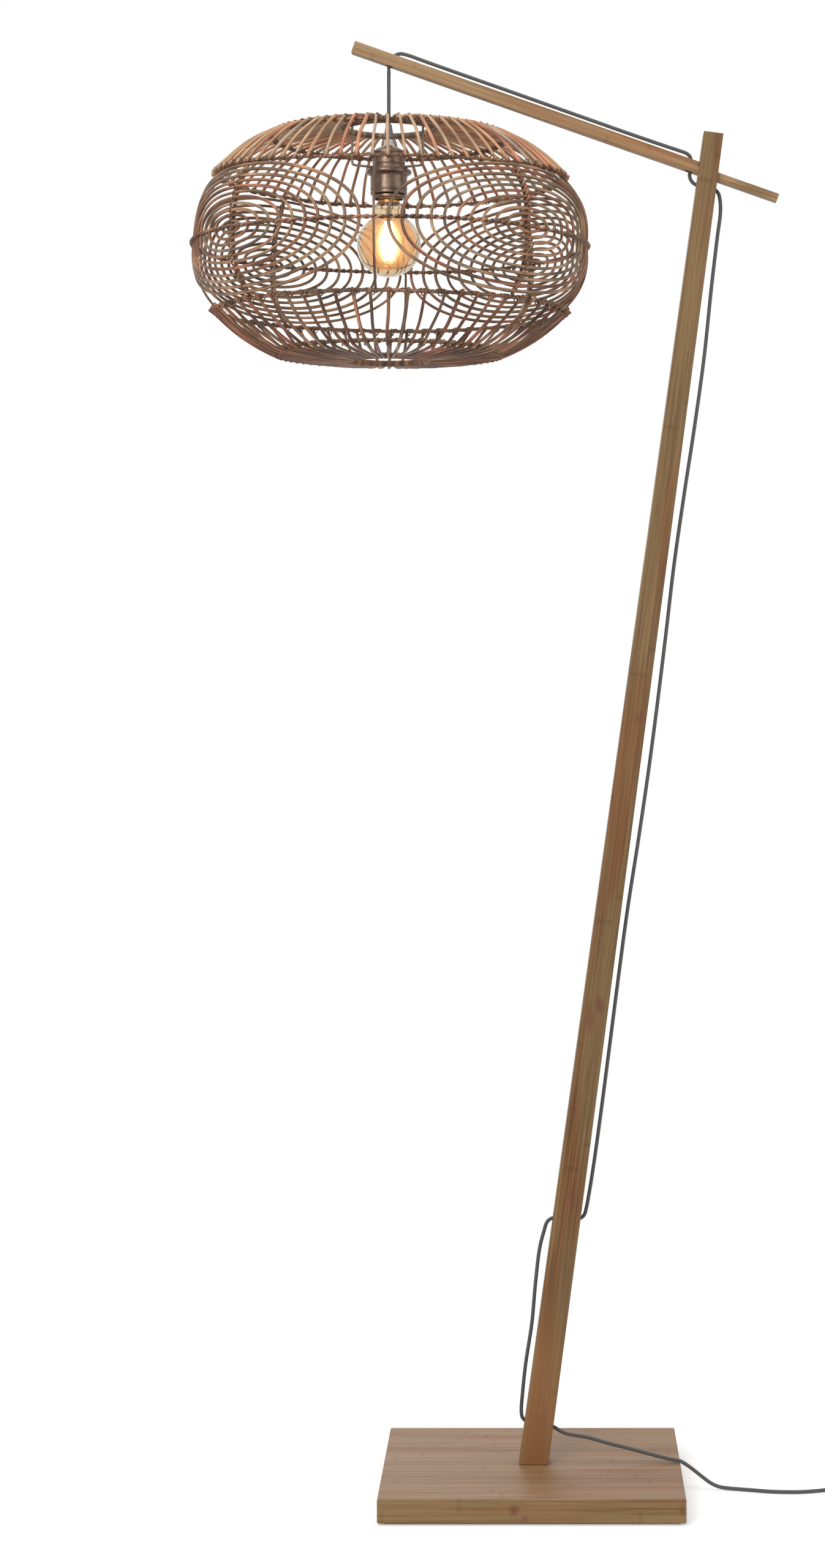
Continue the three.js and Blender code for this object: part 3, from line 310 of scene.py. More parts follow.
# painted shade: the lower strands get a darker, redder copy, as they lie in shade
RATTAN_SHADED_LOW = rattan_finish("rattan_low", SHADED_RUSSET, ("#303030", "#767676", "#ffffff"))
RATTAN_DARK = rattan_finish("rattan_dark", STRAW, ("#383838", "#7c7c7c", "#ececec"))
CORD = cord_finish()
POST_SHIFT, POST_RISE, ARM_SLOPE = 224.1, 1657.8, math.radians(19.35)
POST_TURN = math.pi / 2 - math.atan2(POST_SHIFT, POST_RISE)
RED, BASE_RED = srgb("#f0c6aa"), srgb("#f6d9c6")
# place, reach across and up, depth, and the colour where it isn't the usual one
BASE_BLOTCHES = [
    ((-0.021, -0.15, 0.019), 0.009, 0.008, 0.75),
    ((-0.008, -0.15, 0.008), 0.006, 0.006, 0.6),
    ((0.18, -0.15, 0.02), 0.005, 0.012, 0.5),
    ((0.02, -0.15, 0.015), 0.05, 0.02, 0.4, "#93674a"),
    ((-0.105, -0.15, 0.026), 0.015, 0.008, 0.35, "#93674a"),
]
POST_BLOTCHES = [
    ((0.084, -0.015, 0.605), 0.007, 0.016, 0.8),
    ((0.072, -0.015, 0.588), 0.009, 0.03, 0.5),
    ((0.05, -0.015, 0.366), 0.005, 0.022, 0.75),
    ((0.051, -0.015, 0.475), 0.005, 0.011, 0.5),
    ((0.168, -0.015, 1.18), 0.005, 0.012, 0.35),
    ((0.135, -0.015, 0.96), 0.012, 0.012, 0.4),
    ((0.008, -0.015, 0.07), 0.05, 0.2, 0.55, "#96663f"),
]
ARM_KNOTS_AND_SHADE = [
    ((-0.218, -0.015, 1.789), 0.004, 0.01, 0.6),
    # painted shade: the arm's stub right of the post is darkened, as it lies in shade
    ((0.282, -0.01, 1.624), 0.055, 0.03, 0.75, "#6f5434"),
]
# painted light: paler shades for the base's upper face, as lit from above
BASE_LIT_TOP = ("#74583c", "#8d6d4d", "#a38262")
BAMBOO_BASE = bamboo_finish(
    "bamboo_base", (0, 0, 0), ("#664a26", "#826641", "#957955"), BASE_RED, BASE_BLOTCHES, BASE_LIT_TOP
)
BAMBOO_POST = bamboo_finish(
    "bamboo_post", (0, POST_TURN, 0), ("#5f472a", "#7a5f3c", "#93754c"), RED, POST_BLOTCHES
)
BAMBOO_ARM = bamboo_finish(
    "bamboo_arm", (0, -ARM_SLOPE, 0), ("#6a5030", "#8d6d49", "#a88a66"), RED, ARM_KNOTS_AND_SHADE
)
BRONZE = metal_finish("bronze", "#4f3f34", "#8c786a", 0.2)
BRASS = metal_finish("brass", "#94663a", "#cc9058", 0.28)
STEEL = metal_finish("steel", "#8e8f91", "#c4c6c8", 0.25)
WIRE = metal_finish("bronze_wire", "#6b5d50", "#9a8a79", 0.35, (500, 500, 500))
CONE = moulded_finish("cone_grey", "#5d5c5a", "#777674", 0.5)
NYLON = moulded_finish("nylon_white", "#d9d7d2", "#efeeea", 0.35, Subsurface_Weight=0.15)
BLACK = moulded_finish("plastic_black", "#1c1c1d", "#2d2d2f", 0.42, 1400)
CERAMIC = moulded_finish("ceramic_white", "#d8d5cd", "#ece9e2", 0.3)
FELT = moulded_finish("felt", "#2f2f31", "#4a4a4c", 0.9, 2500, 0.0006, Sheen_Weight=0.4)
GLASS = glass_finish()
GLOW = glow_finish("filament_glow", "#ffd490", "#fff2cf", 14.0)


# ---------------- meshes
def travelled(line):
    """The way along a line to each of its points."""
    return np.concatenate([[0], np.cumsum(np.linalg.norm(np.diff(line, axis=0), axis=1))])


def carried(line, closed):
    """Unit tangents of a line and two normals carried along it without twist."""
    ahead = np.roll(line, -1, 0) - np.roll(line, 1, 0)
    if not closed:
        ahead[0], ahead[-1] = line[1] - line[0], line[-1] - line[-2]
    ahead /= np.linalg.norm(ahead, axis=1)[:, None]
    side = np.cross(ahead[0], (0, 0, 1) if abs(ahead[0][2]) < 0.9 else (1, 0, 0))
    first = side / np.linalg.norm(side)
    sides = []
    for way in ahead:
        side = side - way * (side @ way)
        side = side / np.linalg.norm(side)
        sides.append(side)
    sides = np.array(sides)
    if closed:
        back = side - ahead[0] * (side @ ahead[0])
        twist = math.atan2(np.cross(back, first) @ ahead[0], back @ first)
        turn = (np.arange(len(line)) / len(line) * twist)[:, None]
        sides = sides * np.cos(turn) + np.cross(ahead, sides) * np.sin(turn)
    return sides, np.cross(ahead, sides)


class Weave:
    """Round canes, wires or cords in one mesh. Each point keeps its place in its cane, and a tint."""

    def __init__(self):
        self.points, self.along, self.tints, self.faces = [], [], [], []
        self.count = 0

    def add(self, line, radius, sides, closed=False, tint=None):
        line = np.asarray(line, float)
        rings = len(line)
        one, two = carried(line, closed)
        radius = np.broadcast_to(np.asarray(radius, float), (rings,))[:, None, None]
        turn = np.arange(sides) / sides * math.tau
        cosine, sine = np.cos(turn)[None, :, None], np.sin(turn)[None, :, None]
        wheel = one[:, None, :] * cosine + two[:, None, :] * sine
        points = line[:, None, :] + wheel * radius
        run = travelled(line) + dice.uniform(0, 5000)
        flat = np.broadcast_to(radius[:, :, 0], (rings, sides))
        run = np.broadcast_to(run[:, None], (rings, sides))
        along = np.stack([flat * np.cos(turn), flat * np.sin(turn), run], -1)
        self.points.append(points.reshape(-1, 3))
        self.along.append(along.reshape(-1, 3))
        self.tints.append(np.full(rings * sides, dice.random() if tint is None else tint))
        grid = self.count + np.arange(rings * sides).reshape(rings, sides)
        last = rings if closed else rings - 1
        for i in range(last):
            here, there = grid[i], grid[(i + 1) % rings]
            for j in range(sides):
                k = (j + 1) % sides
                self.faces.append((here[j], here[k], there[k], there[j]))
        if not closed:
            self.faces.append(tuple(grid[0][::-1]))
            self.faces.append(tuple(grid[-1]))
        self.count += rings * sides
        return self

    def make(self, name, body, material, *nodes, slot):
        mesh = bpy.data.meshes.new(name)
        points = (np.concatenate(self.points) * MM).tolist()
        mesh.from_pydata(points, [], [[int(v) for v in f] for f in self.faces])
        mesh.attributes.new("along", "FLOAT_VECTOR", "POINT").data.foreach_set(
            "vector", (np.concatenate(self.along) * MM).astype(np.float32).ravel()
        )
        mesh.attributes.new("tint", "FLOAT", "POINT").data.foreach_set(
            "value", np.concatenate(self.tints).astype(np.float32)
        )
        mesh.polygons.foreach_set("use_smooth", [len(f) == 4 for f in self.faces])
        return placed(name, mesh, body, material, *nodes, slot=slot)


def placed(name, mesh, body, material, *nodes, slot):
    mesh.materials.append(material)
    piece = bpy.data.objects.new(name, mesh)
    bpy.context.scene.collection.objects.link(piece)
    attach(piece, body)
    if nodes:
        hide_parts(*nodes)
    return piece


def bow(start, pull, end, shares):
    """Points at the shares of a curve from start to end, pulled towards a third point."""
    a, b, c = (np.array(p, float) for p in (start, pull, end))
    return [(1 - t) ** 2 * a + 2 * t * (1 - t) * b + t * t * c for t in shares]


def rounded(profile, reach=0.6):
    """An open profile with each corner cut by a small curve."""
    spots = [np.array(p, float) for p in profile]
    made = [spots[0]]
    for before, at, after in zip(spots, spots[1:], spots[2:]):
        one, two = before - at, after - at
        cut = min(reach, np.linalg.norm(one) * 0.45, np.linalg.norm(two) * 0.45)
        start, end = at + one / np.linalg.norm(one) * cut, at + two / np.linalg.norm(two) * cut
        made += bow(start, at, end, np.linspace(0, 1, 4))
    return [tuple(p) for p in [*made, spots[-1]]]


def smooth(points, step):
    """A centripetal Catmull-Rom curve through the points, in even steps."""
    points = np.asarray(points, float)
    padded = np.vstack([2 * points[0] - points[1], points, 2 * points[-1] - points[-2]])
    dense = []
    for p0, p1, p2, p3 in zip(padded, padded[1:], padded[2:], padded[3:]):
        t0 = 0
        t1 = t0 + np.linalg.norm(p1 - p0) ** 0.5
        t2 = t1 + np.linalg.norm(p2 - p1) ** 0.5
        t3 = t2 + np.linalg.norm(p3 - p2) ** 0.5
        for t in np.linspace(t1, t2, 24, endpoint=False):
            a1 = (t1 - t) / (t1 - t0) * p0 + (t - t0) / (t1 - t0) * p1
            a2 = (t2 - t) / (t2 - t1) * p1 + (t - t1) / (t2 - t1) * p2
            a3 = (t3 - t) / (t3 - t2) * p2 + (t - t2) / (t3 - t2) * p3
            b1 = (t2 - t) / (t2 - t0) * a1 + (t - t0) / (t2 - t0) * a2
            b2 = (t3 - t) / (t3 - t1) * a2 + (t - t1) / (t3 - t1) * a3
            dense.append((t2 - t) / (t2 - t1) * b1 + (t - t1) / (t2 - t1) * b2)
    dense.append(points[-1])
    dense = np.array(dense)
    run = travelled(dense)
    even = np.linspace(0, run[-1], max(4, int(round(run[-1] / step)) + 1))
    return np.stack([np.interp(even, run, dense[:, k]) for k in range(3)], 1)


def around(radius, angle, height):
    """A point at a radius, an angle and a height about the pendant's axis."""
    return (AXIS + radius * math.cos(angle), radius * math.sin(angle), height)


# ---------------- cords
OVER_ARM = [
    (-178.8, 0, 1775.6), (-174, 0, 1785.3), (-169.7, 0, 1789.2), (-164.1, 0, 1790.5), (-153.9, 0, 1788.3),
    (-134.5, 0, 1781.3), (-96.3, 0, 1767.7), (-25, 0, 1742.6), (56.6, 0, 1713.7), (126.9, 0, 1688.9),
    (164.2, 0, 1676.1), (183.3, 0, 1669.7), (192.9, 0, 1666.1), (196.9, 0, 1662.3), (198.5, 0, 1657),
    (197.5, 0, 1646.7), (196.7, 0, 1637.4), (199.1, 0, 1631.4), (204.8, 0, 1626.7), (216.9, 0, 1623.8),
]
BESIDE_POST = [
    (217.2, 0, 1623.7), (227.6, 0, 1621.1), (232.3, 0, 1616.6), (234.6, 0, 1608.6), (235.2, 0, 1592.5),
    (231.3, 0, 1561), (224, 0, 1498.9), (214.9, 0, 1412.2), (203, 0, 1325.8), (189.8, 0, 1239.5),
    (177.4, 0, 1153.2), (167.2, 0, 1066.6), (156.6, 0, 980.1), (145.2, 0, 893.6), (132.5, 0, 807.3),
    (119.1, 0, 721.1), (107.5, 0, 634.7), (96.4, 0, 548.2), (85.1, 0, 461.7), (76.1, 0, 397.6),
    (70.8, 0, 365.2), (67.7, 0, 348.8), (65.3, 0, 340.9), (61.5, 0, 337.1), (55.7, 0, 335.2),
    (43.9, 0, 336.4),
]
BESIDE_FOOT = [
    (43.6, 0, 336.45), (29.1, 0, 337.4), (22.2, 0, 335.2), (18.2, 0, 330.9), (14.9, 0, 320.8),
    (9.6, 0, 300.2), (4.4, 0, 257.9), (-0.4, 0, 205.4), (-8.4, 0, 152.4), (-12.1, 0, 116.6),
    (-13.5, 0, 98.6), (-12.8, 0, 89.4), (-10, 0, 85), (-3.9, 0, 82), (9, 0, 80),
]
TO_SWITCH = [
    (9.3, 0, 79.95), (20, 0, 78.2), (27.5, 0, 75.6), (34.5, 0, 71.2), (42, 0, 67.7), (52, 0, 65.7),
    (62.1, 0, 64.2), (75.5, -0.2, 61.2), (94.6, -0.6, 55.8), (123.3, -1.2, 48.8), (150, -1.8, 41.8),
    (168, -2.4, 37.4), (177, -3.4, 35.8), (184, -5, 34.9), (190.5, -6.8, 32), (199.2, -8.6, 26.3),
    (210.7, -10, 17.6), (222.1, -10.8, 9.3), (232, -11.2, 4.8), (243, -11.7, 3), (256, -14.6, 2.7),
    (275, -19.2, 2.65), (293, -24, 2.65), (312, -26.2, 2.65), (331, -26.2, 2.65), (350, -22.8, 2.65),
    (365, -18.6, 2.9), (379, -15, 3.9), (390, -13.2, 4.8), (399.6, -13, 5),
]
DROP = [(AXIS, 0, height) for height in (1769.8, 1740, 1710, 1684.4)]
CORD_WIDE, BRAID_STEP = 4.6, 1.5
ON_FLOOR = 2.6  # height of the middle of a cord that lies on the floor
COIL_AT, COIL_RADIUS, COIL_PITCH, COIL_RISE = (562, 19.6), 32.6, 5.2, 5.2
COIL_TURNS, COIL_STEPS = 4.5, 16
TO_COIL = [(524.4, -13, 5), (533, -13, 4.3), (545, -13, 2.9), (557.1, -13, ON_FLOOR)]
TO_PLUG = [(557.1, 52.2, 7.8), (547, 52.2, 7.8), (538, 52.2, 7.1), (530.3, 52.2, 7)]


def cord(name, body, points, nodes):
    """A stretch of the braided cord through the points, in place of the given nodes."""
    line = smooth(points, BRAID_STEP)
    weave = Weave().add(line, CORD_WIDE / 2, 16, tint=0.5)
    piece = weave.make(name, body, CORD, *nodes, slot="cord_textile")


def coil_line():
    """Turns that wind in, climb a layer at the middle and wind out again."""
    inner = COIL_RADIUS - COIL_PITCH * COIL_TURNS / 2
    points = []
    for turn in np.linspace(0, COIL_TURNS, int(COIL_TURNS * COIL_STEPS) + 1):
        off = turn - COIL_TURNS / 2
        radius = inner + COIL_PITCH * abs(off)
        climb = min(max(2 * off + 0.5, 0), 1)
        climb = climb * climb * (3 - 2 * climb)
        angle = math.tau * turn - math.pi / 2
        x, y = COIL_AT[0] + radius * math.cos(angle), COIL_AT[1] + radius * math.sin(angle)
        points.append((x, y, ON_FLOOR + COIL_RISE * climb))
    return points


for node, body, points, lay in (
    ("cord_over_arm", "stand", OVER_ARM, "taut"),
    ("cord_beside_post", "stand", BESIDE_POST, "taut"),
    ("cord_beside_foot", "stand", BESIDE_FOOT, "taut"),
    ("cord_drop", "drop", DROP, "hanging"),
):
    cord(node + "_braid", body, points, [node])


# ---------------- turned pieces
WELD_REACH = 1e-6  # in metres
NEAR_AXIS = 0.01  # a turned profile ends this far from its axis


def weld(mesh):
    work = bmesh.new()
    work.from_mesh(mesh)
    bmesh.ops.remove_doubles(work, verts=work.verts, dist=WELD_REACH)
    bmesh.ops.dissolve_degenerate(work, edges=work.edges, dist=WELD_REACH)
    bmesh.ops.recalc_face_normals(work, faces=work.faces)
    work.to_mesh(mesh)
    work.free()


def shell(name, rings, body, material, *nodes, slot, at, degrees=35):
    """Rings of one count of points, joined by walls. Edges bent by more than the degrees stay sharp."""
    count = len(rings[0])
    points = [tuple((a + b) * MM for a, b in zip(at, spot)) for ring in rings for spot in ring]
    faces = []
    for i in range(len(rings) - 1):
        for j in range(count):
            k = (j + 1) % count
            faces.append((i * count + j, i * count + k, (i + 1) * count + k, (i + 1) * count + j))
    mesh = bpy.data.meshes.new(name)
    mesh.from_pydata(points, [], faces)
    weld(mesh)
    piece = placed(name, mesh, body, material, *nodes, slot=slot)
    mesh.polygons.foreach_set("use_smooth", [True] * len(mesh.polygons))
    mesh.set_sharp_from_angle(angle=math.radians(degrees))
    return piece


def lathe(name, profile, body, material, *nodes, slot, at=(AXIS, 0, 0), way="Z", steps=64, degrees=35):
    """A closed or open profile of (radius, distance along the axis), turned about the line through at."""
    turns = np.arange(steps) / steps * math.tau
    rings = []
    for radius, far in profile:
        circle = [(radius * math.cos(turn), radius * math.sin(turn)) for turn in turns]
        rings.append([(c, s, far) if way == "Z" else (far, c, s) for c, s in circle])
    return shell(name, rings, body, material, *nodes, slot=slot, at=at, degrees=degrees)


def loop(profile):
    """A closed profile with its corners eased."""
    return rounded([*profile, profile[0], profile[1]])[1:]


def arc(wide, tall, middle, angles, least=NEAR_AXIS):
    """Points (radius, height) of an ellipse about a height on the axis, none nearer the axis than least."""
    return [(max(wide * math.cos(a), least), middle + tall * math.sin(a)) for a in angles]


bend = arc(CORD_WIDE / 2, CORD_WIDE / 2, 1772.4, np.linspace(-math.pi / 2, math.pi / 2, 13), 0.001)
lathe("cord_bend_braid", bend, "bend", CORD, "cord_bend", slot="cord_textile", steps=24)

# cord grip and the cone of the strain relief
cone = [
    (2.6, 1684.3), (6.6, 1684.3), (6.5, 1686.5), (5.9, 1688), (5.6, 1691), (5.0, 1693), (4.8, 1696),
    (4.2, 1698), (3.9, 1702), (2.6, 1702),
]
lathe("strain_cone", loop(cone), "pendant", CONE, "cord_cone", slot="cone_grey")
grip = [
    (NEAR_AXIS, 1669.5), (4.48, 1669.5), (4.48, 1675.3), (5.6, 1675.3), (5.6, 1678), (5.1, 1678.6),
    (5.6, 1679.2), (5.6, 1683), (4.6, 1684), (NEAR_AXIS, 1684),
]
lathe("cord_grip_turned", rounded(grip, 0.4), "pendant", NYLON, "cord_grip", slot="nylon_white")

# lamp holder
CAP_OUT, CAP_IN, DOME_FOOT = 20.5, 18.9, 1664
dome = arc(CAP_OUT, 11, DOME_FOOT, np.radians([0, 8, 16, 24, 32, 40, 48, 56, 64, 70]))
inside = arc(CAP_IN, 9.4, DOME_FOOT, np.radians([70, 56, 40, 24, 8]))
cap = [
    (CAP_IN, 1647), (CAP_OUT, 1647), (CAP_OUT, 1650.4), (20.0, 1650.8), (20.0, 1651.8), (CAP_OUT, 1652.2),
    (CAP_OUT, 1662.6), *dome, (6.6, 1675), (4.8, 1675), (4.8, 1673.4), *inside, (CAP_IN, 1662),
]
lathe("holder_cap_turned", loop(cap), "pendant", BRONZE, "holder_cap", slot="bronze")
tube = [
    (17.6, 1609), (19.9, 1609), (20.5, 1609.8), (20.5, 1613.2), (19.9, 1614), (19.4, 1614), (19.4, 1646.7),
    (18.6, 1646.7), (18.6, 1656), (17.6, 1656),
]
lathe("holder_body_turned", loop(tube), "pendant", BRONZE, "holder_body", slot="bronze")
ring = [
    (19.7, 1614.3), (22.4, 1614.3), (23, 1615), (23, 1618), (22.5, 1618.5), (22.5, 1619.3), (23, 1619.8),
    (23, 1636.6), (24.2, 1638.4), (27.3, 1639.9), (28.5, 1641.3), (28.5, 1643.6), (27.4, 1644.9),
    (24, 1644.9), (23.4, 1644.4), (19.7, 1644.4),
]
lathe("shade_ring_turned", loop(ring), "pendant", BRONZE, "shade_ring", slot="bronze", steps=96)

# bulb
GLOBE_AT, NECK_TOP, THREADS = 1551.5, 1600.4, 6


def globe(radius, neck):
    """The globe's side from its lowest point to the top of its neck."""
    last = math.acos(neck / radius)
    side = arc(radius, radius, GLOBE_AT, np.linspace(-math.pi / 2, last - 0.16, 26))
    wide, high = side[-1]
    pull = (neck, high + (wide - neck))
    return side + bow(side[-1], pull, (neck, NECK_TOP), np.linspace(0.12, 1, 8))


glass = [
    *globe(40, 17.4), (17.0, 1602.4), (15.4, 1603.3), (12.3, 1603.3), (12.3, 1609.6), (11.4, 1609.6),
    (11.4, 1602.4), (15.2, 1602.2), *globe(39.1, 16.5)[::-1],
]
lathe("bulb_globe", glass, "pendant", GLASS, "bulb_glass", slot="bulb_clear", steps=96, degrees=60)
thread = [(12.6, 1609.6), (12.6, 1603.6), (13.2, 1603.6), (13.2, 1606)]
shares = np.linspace(0, 1, 61)
thread += [(12.95 + 0.25 * math.cos(math.tau * t * THREADS), 1606.6 + 20 * t) for t in shares]
thread += [(13.0, 1627.6), (5.6, 1630.6), (NEAR_AXIS, 1630.6), (NEAR_AXIS, 1609.9), (12.6, 1609.9)]
lathe("bulb_cap_threaded", thread, "pendant", BRASS, "bulb_cap", slot="brass")
stem = [(NEAR_AXIS, 1581.3), (2, 1581.3), (2.6, 1586), (4.2, 1592), (4.2, 1609.6), (NEAR_AXIS, 1609.6)]
lathe("filament_stem_glass", rounded(stem, 1.5), "pendant", GLASS, "filament_stem",
      slot="bulb_clear", steps=32)

# four glowing rods on thin wires round a middle wire, in veils of light
ROD_FOOT, ROD_HEAD, ROD, THIN_WIRE = 1533.8, 1580.2, 1.2, 0.4
glowing = Weave()
for i in range(4):
    angle = math.tau * (i + 0.5) / 4
    foot, head = around(8, angle, ROD_FOOT), around(6, angle, ROD_HEAD)
    rod = [tuple(np.array(foot) * (1 - t) + np.array(head) * t) for t in (0, 0.02, 0.5, 0.98, 1)]
    glowing.add(rod, [0.7, ROD, ROD, ROD, 0.7], 10)
    glowing.add([around(0.2, angle, ROD_FOOT), foot], THIN_WIRE, 6)
    glowing.add([around(0.2, angle, ROD_HEAD), head], THIN_WIRE, 6)
glowing.add([(AXIS, 0, 1533.5), (AXIS, 0, 1560), (AXIS, 0, 1581)], THIN_WIRE, 6)
glowing.make("filament_rods", "pendant", GLOW, "filaments", slot="filament_glow")
VEILS = [
    (11.5, 22.5, 0.55, 5.0, "#ffeac4", "#fff8e6"),
    (15.5, 26, 0.22, 2.2, "#ffdca8", "#ffeccc"),
    (22, 28, 0.1, 1.0, "#e2c698", "#ecd6b0"),
    (34, 34, 0.46, 0.56, "#b08c5e", "#bf9c70"),
]
for i, (radius, tall, alpha, strength, colour, bright) in enumerate(VEILS):
    veil = arc(radius, tall, 1554, np.linspace(-math.pi / 2, math.pi / 2, 25))
    finish = glow_finish(f"glow_{i}", colour, bright, strength, alpha)
    lathe(f"filament_halo_{i + 1}", veil, "pendant", finish, slot="filament_glow", steps=32)

# spider: ring and three bent wires
carrier = [(19.7, 1645.2), (25, 1645.2), (25, 1646.7), (19.7, 1646.7)]
lathe("spider_ring", loop(carrier), "pendant", WIRE, "spider", slot="bronze")
BENT_WIRE = [
    (22, 1647.4), (36, 1647.4), (46.5, 1647.4), (49.9, 1648.6), (50.65, 1652), (50.65, 1675),
    (50.65, 1695.5), (51.2, 1700.1), (53.4, 1701.85), (58.6, 1701.85),
]
wires = Weave()
for i in range(3):
    angle = math.radians(90 + 120 * i)
    wires.add(smooth([around(radius, angle, height) for radius, height in BENT_WIRE], 1.2), 1.5, 10)
wires.make("spider_wires", "pendant", WIRE, "spider", slot="bronze")


# ---------------- rattan shade
WAIST, SHOULDER, UPPER, LOWER = 1550.0, 215.0, 1630.0, 1468.0
TOP_RING, TOP_HOOP, UPPER_SHOULDER = (55, 1697.5), (145, 1683), (SHOULDER, UPPER)
BOTTOM_RING, BOTTOM_HOOP, LOWER_SHOULDER = (50, 1408.5), (140, 1417.5), (SHOULDER, LOWER)
UPPER_COUNT, LOWER_COUNT, OVALS = 72, 64, 11
# radii of the canes
HOOP, STRAND, OVAL, TWINE, TIE = 2.3, 2.1, 1.9, 1.5, 0.7
UPPER_HOOP, RIB, SIDE_RIB, RIB_TWINE, RING_CORE, RING_WRAP = 1.9, 2.3, 1.5, 1.2, 2.0, 1.15
# how knots lean along a hoop: one at each strand, or two that cross
ALONE, CROSSED = (0.55,), (0.9, -0.9)
# the wall's radius at the waist, and the step from oval to oval along it and up it
WALL, PITCH_ALONG, PITCH_UP = 243.67, 16.53, 6.85
NETS = {"front_right": -44.8, "back_right": 44.0, "back_left": 132.8, "front_left": 221.7}


def wall(height):
    """The wall's radius, fullest at the waist."""
    share = min(abs(height - WAIST) / (UPPER - WAIST), 1)
    return SHOULDER + (WALL - SHOULDER) * (1 - share**2.6)


def cane(radius, angle, height):
    """A point of the shade, a little out of true as the woven one is."""
    level = abs(height - WAIST) / (UPPER - WAIST)
    # the wall stands off to the right, and the halves above and below it less and less
    aside = 2.4 * max(0.0, 1 - max(0.0, level - 1) / 0.8)
    # near the upper shoulder the canes sag in front
    near = max(0.0, 1 - abs(height - UPPER) / 55) ** 0.7
    sag = 3.0 + 3.6 * math.sin(angle) + 3.0 * math.cos(2 * angle) - math.cos(angle)
    # the wall bulges on the right, and on the left under the waist
    belly = 4 * min(level, 1) * (1 - min(level, 1))
    right, left = max(0.0, math.cos(angle)), max(0.0, -math.cos(angle))
    bulge = belly * (2.6 * right + (2.4 if height < WAIST else -1.2) * left)
    x, y, z = around(radius + bulge, angle, height + sag * near)
    return (x + aside, y, z)


def wander(count, size, scale):
    """A slow random drift about 0 along a line."""
    phases = [(dice.uniform(0.5, 1.5), dice.uniform(0, 6.3), dice.uniform(0.4, 1)) for _ in range(3)]
    t = np.linspace(0, 1, count) * scale
    return size * sum(w * np.sin(math.tau * f * t + p) for f, p, w in phases) / 1.6


def hoop_line(radius, height, steps=240, drift=0.4):
    """A hoop that drifts a little from its circle."""
    line = []
    for turn in np.arange(steps) / steps * math.tau:
        out, up = drift * math.sin(3 * turn + radius), drift * math.sin(5 * turn + height)
        line.append(cane(radius + out, turn, height + up))
    return line


def winding(radius, height, reach, turns, steps):
    """A thin cane wound so many turns round a hoop."""
    line = []
    for i in range(turns * steps):
        turn, wound = math.tau * i / (turns * steps), math.tau * i / steps
        line.append(cane(radius + reach * math.cos(wound), turn, height + reach * math.sin(wound)))
    return line


def knot(weave, radius, angle, height, normal, deep, tall, lean):
    """One turn of thin cane round a hoop and the strand on it, leaning along the hoop."""
    out, up, steps = math.cos(normal), math.sin(normal), 14
    middle = deep - HOOP - TIE
    line = []
    for i in range(steps):
        turn = math.tau * i / steps
        far, rise = deep * math.cos(turn) + middle, tall * math.sin(turn)
        spot = (radius + out * far - up * rise, height + up * far + out * rise)
        line.append(cane(spot[0], angle + lean * rise / radius, spot[1]))
    weave.add(line, TIE * dice.uniform(0.85, 1.15), 6, closed=True)


def strands(name, node, material, count, ring, hoop, shoulder, swell, past):
    """Radial canes of one half: from the opening's ring over the hoop and past the shoulder."""
    side = math.copysign(1, ring[1] - shoulder[1])
    clear = HOOP + STRAND + 0.1

    def normal(a, b):
        along = np.array(b, float) - a
        along /= np.linalg.norm(along)
        return np.array([abs(along[1]), side * along[0]])

    inner, outer = normal(ring, hoop), normal(hoop, shoulder)
    middle = (inner + outer) / np.linalg.norm(inner + outer)
    over = np.array(hoop) + middle * clear / (middle @ outer)
    end = np.array(shoulder) + outer * clear
    down = (end - over) / np.linalg.norm(end - over)
    first = np.array(ring, float) + inner * 1.4
    steps = np.linspace(0, 1, 16)
    weave = Weave()
    for i in range(count):
        angle = math.tau * (i + 0.5) / count
        lean, slip = dice.gauss(0, 0.011), dice.gauss(0, 0.005)
        reach = past * dice.uniform(0.75, 1.2)
        swelling = swell * dice.uniform(0.75, 1.2)
        one = [first + (over - first) * t + inner * 1.6 * math.sin(math.pi * t) for t in steps[:-1]]
        two = [over + (end - over) * t + outer * swelling * math.sin(math.pi * t) ** 0.85 for t in steps]
        spots = one[:-1] + two[1:] + [end + down * reach * 0.5, end + down * reach]
        spots = smooth(np.array([(x, 0, z) for x, z in spots]), 4.5)
        share = np.linspace(0, 1, len(spots))
        drift = wander(len(spots), 1.1, 1.6) * np.sin(np.pi * share)
        line = []
        for (r, _, z), t, d in zip(spots, share, drift):
            turn = angle + lean * (1 - t) * min(t * 8, 1) + slip * t + d / max(r, 60)
            line.append(cane(r, turn, z))
        weave.add(line, STRAND * dice.uniform(0.84, 1.06), 9)
    weave.make(name, "pendant", material, node, slot="rattan")


def tied_hoop(name, node, radius, height, count, normal, wide, leans):
    """A hoop with a thin cane wound round it, and knots with these leans at each strand that it carries."""
    weave = Weave().add(hoop_line(radius, height), wide, 10, closed=True)
    deep, tall = (wide + 2 * STRAND + HOOP) / 2 + TIE - 0.45, wide + TIE + 0.2
    for i in range(count):
        angle = math.tau * (i + 0.5) / count + dice.gauss(0, 0.003)
        for lean in leans:
            knot(weave, radius, angle, height, normal, deep, tall, lean * dice.uniform(0.7, 1.3))
    weave.add(winding(radius, height, wide + TIE * 0.8, count, 10), TIE, 6, closed=True)
    weave.make(name, "pendant", RATTAN_DARK, node, slot="rattan_dark")


